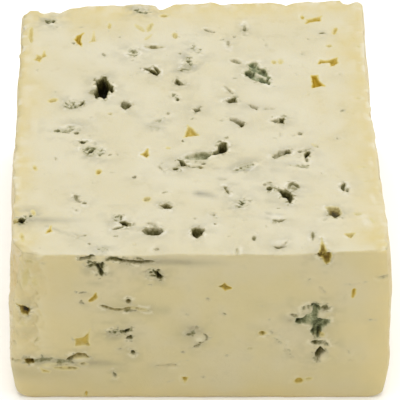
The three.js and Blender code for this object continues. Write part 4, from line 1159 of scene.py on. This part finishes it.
place -= np.array([*CENTRE, 0])
cheese_mesh = bpy.data.meshes.new("cheese_block")
cheese_mesh.from_pydata(place * MILLIMETRE, [], triangles)
for name, values in finish.items():
    cheese_mesh.attributes.new(name, "FLOAT", "POINT").data.foreach_set("value", values.astype(np.float32))
cheese_mesh.shade_smooth()
cheese = bpy.data.objects.new("cheese_block_look", cheese_mesh)
scene.collection.objects.link(cheese)


# The cheese as a material: moist pale paste, yellower towards the rind, with grey, blue and black mould,
# the blackest partly painted shade, and amber whey in its openings. The front face takes its own copies of
# the paste colours, darker and yellower, and paler for the rind yellow near its sides and foot: painted
# warm shade. The pale paste of rims, crumbs and flakes is painted highlight, and the creases of the rind
# are painted darker as shade. It is soft, so light goes a little way into it, and its grain shows as a fine
# bump. Lengths are in millimetres.
GIVES_BACK = 0.86  # share of the light that pure white would give back


def linear(*srgb):
    """A colour from 0 to 255 as it shows in even light, turned into the share of light it gives back:
    a straight line for the darkest values and a power of 2.4 for the rest."""
    shown = np.array(srgb) / 255
    return (*(GIVES_BACK * np.where(shown <= 0.04045, shown / 12.92, ((shown + 0.055) / 1.055) ** 2.4)), 1)


# The front face has its own copies of the paste, its pale highlight, the rind yellow and the smear colour:
# painted warm shade, darker and yellower, but paler for the rind yellow
PASTE = linear(206, 200, 175)
PASTE_HIGHLIGHT = linear(221, 217, 201)
PASTE_HIGHLIGHT_FRONT_LIT = linear(217, 212, 184)
PASTE_WARM = linear(201, 193, 162)
PASTE_RIND = linear(203, 187, 131)
PASTE_FRONT_LIT = linear(199, 189, 148)
PASTE_RIND_FRONT_LIT = linear(211, 196, 146)
RIND_COLOUR = linear(208, 190, 142)
RIND_BLOOM = linear(216, 205, 170)
RIND_FLECK = linear(182, 163, 110)
RIND_CREASE_SHADE = linear(194, 174, 122)
SMEAR_COLOUR = linear(150, 147, 128)
SMEAR_FRONT_LIT = linear(147, 142, 118)
JOINT_COLOUR = linear(190, 183, 152)

# Colours of linings from none to the thickest. The near-black stops beyond 1 are partly painted shade,
# for the deepest and smallest openings
AMBER_STOPS = (
    (0.0, linear(206, 199, 165)),
    (0.45, linear(203, 191, 136)),
    (0.8, linear(188, 163, 68)),
    (1.0, linear(167, 136, 26)),
)
OLIVE_STOPS = (  # mould on amber
    (0.0, linear(202, 190, 128)),
    (0.4, linear(160, 143, 70)),
    (0.7, linear(116, 94, 28)),
    (1.0, linear(59, 48, 10)),
    (1.25, linear(32, 25, 5)),
)
MOULD_STOPS = (
    (0.0, linear(200, 194, 168)),
    (0.3, linear(177, 171, 143)),
    (0.5, linear(147, 142, 108)),
    (0.7, linear(111, 106, 66)),
    (0.85, linear(82, 77, 37)),
    (1.0, linear(56, 51, 17)),
    (1.25, linear(28, 24, 8)),
)
BLUE_STOPS = (
    (0.0, linear(196, 193, 165)),
    (0.3, linear(168, 171, 137)),
    (0.5, linear(131, 136, 101)),
    (0.7, linear(96, 101, 68)),
    (0.85, linear(67, 71, 41)),
    (1.0, linear(42, 44, 19)),
    (1.25, linear(24, 22, 9)),
)

# Noises by length and detail, then how far each finish covers what is under it: a ramp runs from the
# value at which it starts to the value at which it is full
BROAD = (16, 2)
MIDDLING = (4, 3)
FINE = (1.1, 3)
FINEST = (0.45, 2)
MOTTLE = (6.5, 5)
WARM_RAMP = (0.35, 0.7)
WARM_SHARE = 0.8
JOINT_RAMP = (0.58, 0.72)
JOINT_PLACES = (0.4, 0.6)
JOINT_SHARE = 0.35
YELLOW_SHARES = (0.3, 1.1)  # even, and with the noise
BLOOM_RAMP = (0.3, 0.7)
FLECK_RAMP = (0.55, 0.75)
FLECK_SHARE = 0.6
CREASE_SHADE_SHARE = 0.7
SMEAR_SHARES = (0.5, 0.6)  # even, and with the noise
HIGHLIGHT_SHARE = 0.7
WHEY_RAMP = (0.05, 0.4)
WHEY_GRAIN = 0.3  # how far the noises thin and thicken whey
WHEY_GRAIN_RAMP = (0, 0.5)
MOULD_RAMP = (0.02, 0.4)
MOULD_GRAIN = 0.8  # how far they thin and thicken mould
MOULD_GRAIN_RAMP = (0, 0.4)
OLIVE_RAMP = (0.1, 0.8)
GRAIN_SHARES = (0.8, 0.4)  # of the middling and the finest noise beside the fine one
GRAIN_STRENGTH = 0.35
GRAIN_HEIGHT = 0.00035  # in metres
ROUGHNESS = 0.58
SHINE = 0.2
DEEP_LIGHT = 0.15  # share of the light that goes in
DEEP_REACH = 0.0012  # in metres
DEEP_COLOUR = (1.0, 0.75, 0.4)  # how far red, green and blue go, as shares of that


class Value:
    """A socket of a shader: sums, products and other nodes made from it add themselves to its tree."""

    def __init__(self, tree, socket):
        self.tree = tree
        self.socket = socket

    def make(self, kind, settings, sockets, output=0):
        """A node of that type, with its settings, and its sockets set to numbers or linked to values."""
        node = self.tree.nodes.new(kind)
        for name, setting in settings.items():
            setattr(node, name, setting)
        for key, item in sockets.items():
            if isinstance(item, Value):
                self.tree.links.new(item.socket, node.inputs[key])
            else:
                node.inputs[key].default_value = item
        return Value(self.tree, node.outputs[output])

    def math(self, operation, first, second):
        """A Math node on two values or numbers."""
        return self.make("ShaderNodeMath", {"operation": operation}, {0: first, 1: second})

    def __add__(self, other):
        return self.math("ADD", self, other)

    __radd__ = __add__

    def __sub__(self, other):
        return self.math("SUBTRACT", self, other)

    def __rsub__(self, other):
        return self.math("SUBTRACT", other, self)

    def __mul__(self, other):
        return self.math("MULTIPLY", self, other)

    __rmul__ = __mul__

    def ramp(self, low, high):
        """From 0 at low to 1 at high, level at both ends."""
        settings = {"interpolation_type": "SMOOTHSTEP"}
        return self.make("ShaderNodeMapRange", settings, {0: self, 1: low, 2: high})

    def mix(self, first, second):
        """The first colour where this is 0 and the second where it is 1."""
        settings = {"data_type": "RGBA", "clamp_factor": True}
        return self.make("ShaderNodeMix", settings, {0: self, 6: first, 7: second}, 2)

    def noise(self, length, detail):
        """Noise from 0 to 1 over this vector, with features of that length in millimetres."""
        sockets = {"Vector": self, "Scale": 1000 / length, "Detail": detail}
        return self.make("ShaderNodeTexNoise", {}, sockets)

    def stops(self, colours):
        """The colour at this value of a ramp that ends at its last stop."""
        last = colours[-1][0]
        made = self.make("ShaderNodeValToRGB", {}, {0: self * (1 / last)})
        elements = made.socket.node.color_ramp.elements
        elements[0].color = colours[0][1]
        elements[1].color = colours[-1][1]
        for at, colour in colours[1:-1]:
            elements.new(at / last).color = colour
        return made


cheese_look = bpy.data.materials.new("cheese")
cheese_look.use_nodes = True
surface = cheese_look.node_tree.nodes["Principled BSDF"]
start = Value(cheese_look.node_tree, surface.outputs[0])
here = start.make("ShaderNodeTexCoord", {}, {}, "Object")
mould, amber, smear, yellow, blue, rind, pale_highlight, front_lit, crease_shade = (
    start.make("ShaderNodeAttribute", {"attribute_name": name}, {}, "Fac")
    for name in ("mould", "amber", "smear", "yellow", "blue", "rind", "pale_highlight", "front_lit", "crease_shade"))
broad, middling, fine = (here.noise(*lengths) for lengths in (BROAD, MIDDLING, FINE))

# Here and below, the front face takes its own copies of the colours: painted warm shade
paste = front_lit.mix(PASTE, PASTE_FRONT_LIT)
paste = (broad.ramp(*WARM_RAMP) * WARM_SHARE).mix(paste, PASTE_WARM)
paste = (middling.ramp(*JOINT_RAMP) * broad.ramp(*JOINT_PLACES) * JOINT_SHARE).mix(paste, JOINT_COLOUR)
yellowed = yellow * (YELLOW_SHARES[0] + YELLOW_SHARES[1] * middling)
paste = yellowed.mix(paste, front_lit.mix(PASTE_RIND, PASTE_RIND_FRONT_LIT))
skin = (0.5 * broad + 0.5 * here.noise(*MOTTLE)).ramp(*BLOOM_RAMP).mix(RIND_COLOUR, RIND_BLOOM)
skin = (fine.ramp(*FLECK_RAMP) * FLECK_SHARE).mix(skin, RIND_FLECK)
# Painted shade in the creases of the rind
skin = (crease_shade * CREASE_SHADE_SHARE).mix(skin, RIND_CREASE_SHADE)
paste = rind.mix(paste, skin)
smeared = smear * (SMEAR_SHARES[0] + SMEAR_SHARES[1] * middling)
paste = smeared.mix(paste, front_lit.mix(SMEAR_COLOUR, SMEAR_FRONT_LIT))
# Painted highlight: rims, crumbs and flakes are paler
paste = (pale_highlight * HIGHLIGHT_SHARE).mix(paste, front_lit.mix(PASTE_HIGHLIGHT, PASTE_HIGHLIGHT_FRONT_LIT))
grainy = middling + fine - 1
whey = amber + grainy * WHEY_GRAIN * amber.ramp(*WHEY_GRAIN_RAMP)
paste = whey.ramp(*WHEY_RAMP).mix(paste, whey.stops(AMBER_STOPS))
thick = mould + grainy * MOULD_GRAIN * mould.ramp(*MOULD_GRAIN_RAMP)
lining = blue.mix(thick.stops(MOULD_STOPS), thick.stops(BLUE_STOPS))
lining = amber.ramp(*OLIVE_RAMP).mix(lining, thick.stops(OLIVE_STOPS))
colour = thick.ramp(*MOULD_RAMP).mix(paste, lining)
start.tree.links.new(colour.socket, surface.inputs["Base Color"])

grain = fine + GRAIN_SHARES[0] * middling + GRAIN_SHARES[1] * here.noise(*FINEST)
bump = {"Strength": GRAIN_STRENGTH, "Distance": GRAIN_HEIGHT, "Height": grain}
start.tree.links.new(start.make("ShaderNodeBump", {}, bump).socket, surface.inputs["Normal"])
surface.inputs["Roughness"].default_value = ROUGHNESS
surface.inputs["Specular IOR Level"].default_value = SHINE
surface.inputs["Subsurface Weight"].default_value = DEEP_LIGHT
surface.inputs["Subsurface Radius"].default_value = DEEP_COLOUR
surface.inputs["Subsurface Scale"].default_value = DEEP_REACH
cheese_mesh.materials.append(cheese_look)
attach(cheese, "root")
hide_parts("cheese_block")


# The floor: plain white card that the block stands on, wide enough to fill the picture.
# It belongs to the picture and not to the object.
FLOOR_HALF = 3.0  # in metres, as are the sizes of light and camera
FLOOR_COLOUR = (0.95, 0.95, 0.95, 1)
FLOOR_ROUGHNESS = 0.9

floor_mesh = bpy.data.meshes.new("floor")
floor_corners = [(FLOOR_HALF * x, FLOOR_HALF * y, 0) for x, y in ((-1, -1), (1, -1), (1, 1), (-1, 1))]
floor_mesh.from_pydata(floor_corners, [], [(0, 1, 2, 3)])
floor = bpy.data.objects.new("floor", floor_mesh)
scene.collection.objects.link(floor)
card = bpy.data.materials.new("card")
card.use_nodes = True
card_surface = card.node_tree.nodes["Principled BSDF"]
card_surface.inputs["Base Color"].default_value = FLOOR_COLOUR
card_surface.inputs["Roughness"].default_value = FLOOR_ROUGHNESS
floor_mesh.materials.append(card)


# The light: a wide soft box overhead, a warm one in front, and two weak ones at the sides, of which the
# right one is stronger, all within an even white surround.
SOFT_BOXES = (  # name, place, aim, size, power and colour
    ("overhead", (0, 0.2, 1.3), (0, 0, 0), 1.4, 18, (1, 1, 1.02)),
    ("left", (-1.3, 0.4, 0.4), (0, 0, 0.03), 1.0, 2.4, (1, 0.96, 0.84)),
    ("right", (1.3, 0.4, 0.4), (0, 0, 0.03), 1.0, 6.2, (1, 0.96, 0.84)),
    ("front", (-0.15, -1.35, 0.72), (0, 0, 0.03), 1.0, 7.5, (1, 0.88, 0.6)),
)
SURROUND = 0.45

for name, at, aim, size, power, colour in SOFT_BOXES:
    light = bpy.data.lights.new(name, "AREA")
    light.shape = "SQUARE"
    light.size = size
    light.energy = power
    light.color = colour
    lamp = bpy.data.objects.new(name, light)
    lamp.location = at
    lamp.rotation_euler = (Vector(aim) - Vector(at)).to_track_quat("-Z", "Y").to_euler()
    scene.collection.objects.link(lamp)
world = bpy.data.worlds.new("surround")
world.use_nodes = True
backdrop = world.node_tree.nodes["Background"]
backdrop.inputs["Color"].default_value = (1, 1, 1, 1)
backdrop.inputs["Strength"].default_value = SURROUND
scene.world = world
scene.view_settings.view_transform = "Standard"


# The camera: a long lens, nearly square to the front, that looks down on the block.
# Its angles, distance and aim come from a fit to the edges of the block.
CAMERA_ELEVATION = math.radians(40)
CAMERA_YAW = math.radians(-1.06)
CAMERA_DISTANCE = 0.884
CAMERA_AIM = Vector((0.0012, -0.0028, 0.0275))
CAMERA_LENS = 256.1

ahead = Vector((-math.sin(CAMERA_YAW) * math.cos(CAMERA_ELEVATION),
                math.cos(CAMERA_YAW) * math.cos(CAMERA_ELEVATION), -math.sin(CAMERA_ELEVATION)))
lens = bpy.data.cameras.new("camera")
lens.lens = CAMERA_LENS
camera = bpy.data.objects.new("camera", lens)
camera.location = CAMERA_AIM - CAMERA_DISTANCE * ahead
camera.rotation_euler = ahead.to_track_quat("-Z", "Y").to_euler()
scene.collection.objects.link(camera)
scene.camera = camera

bpy.context.view_layer.update()
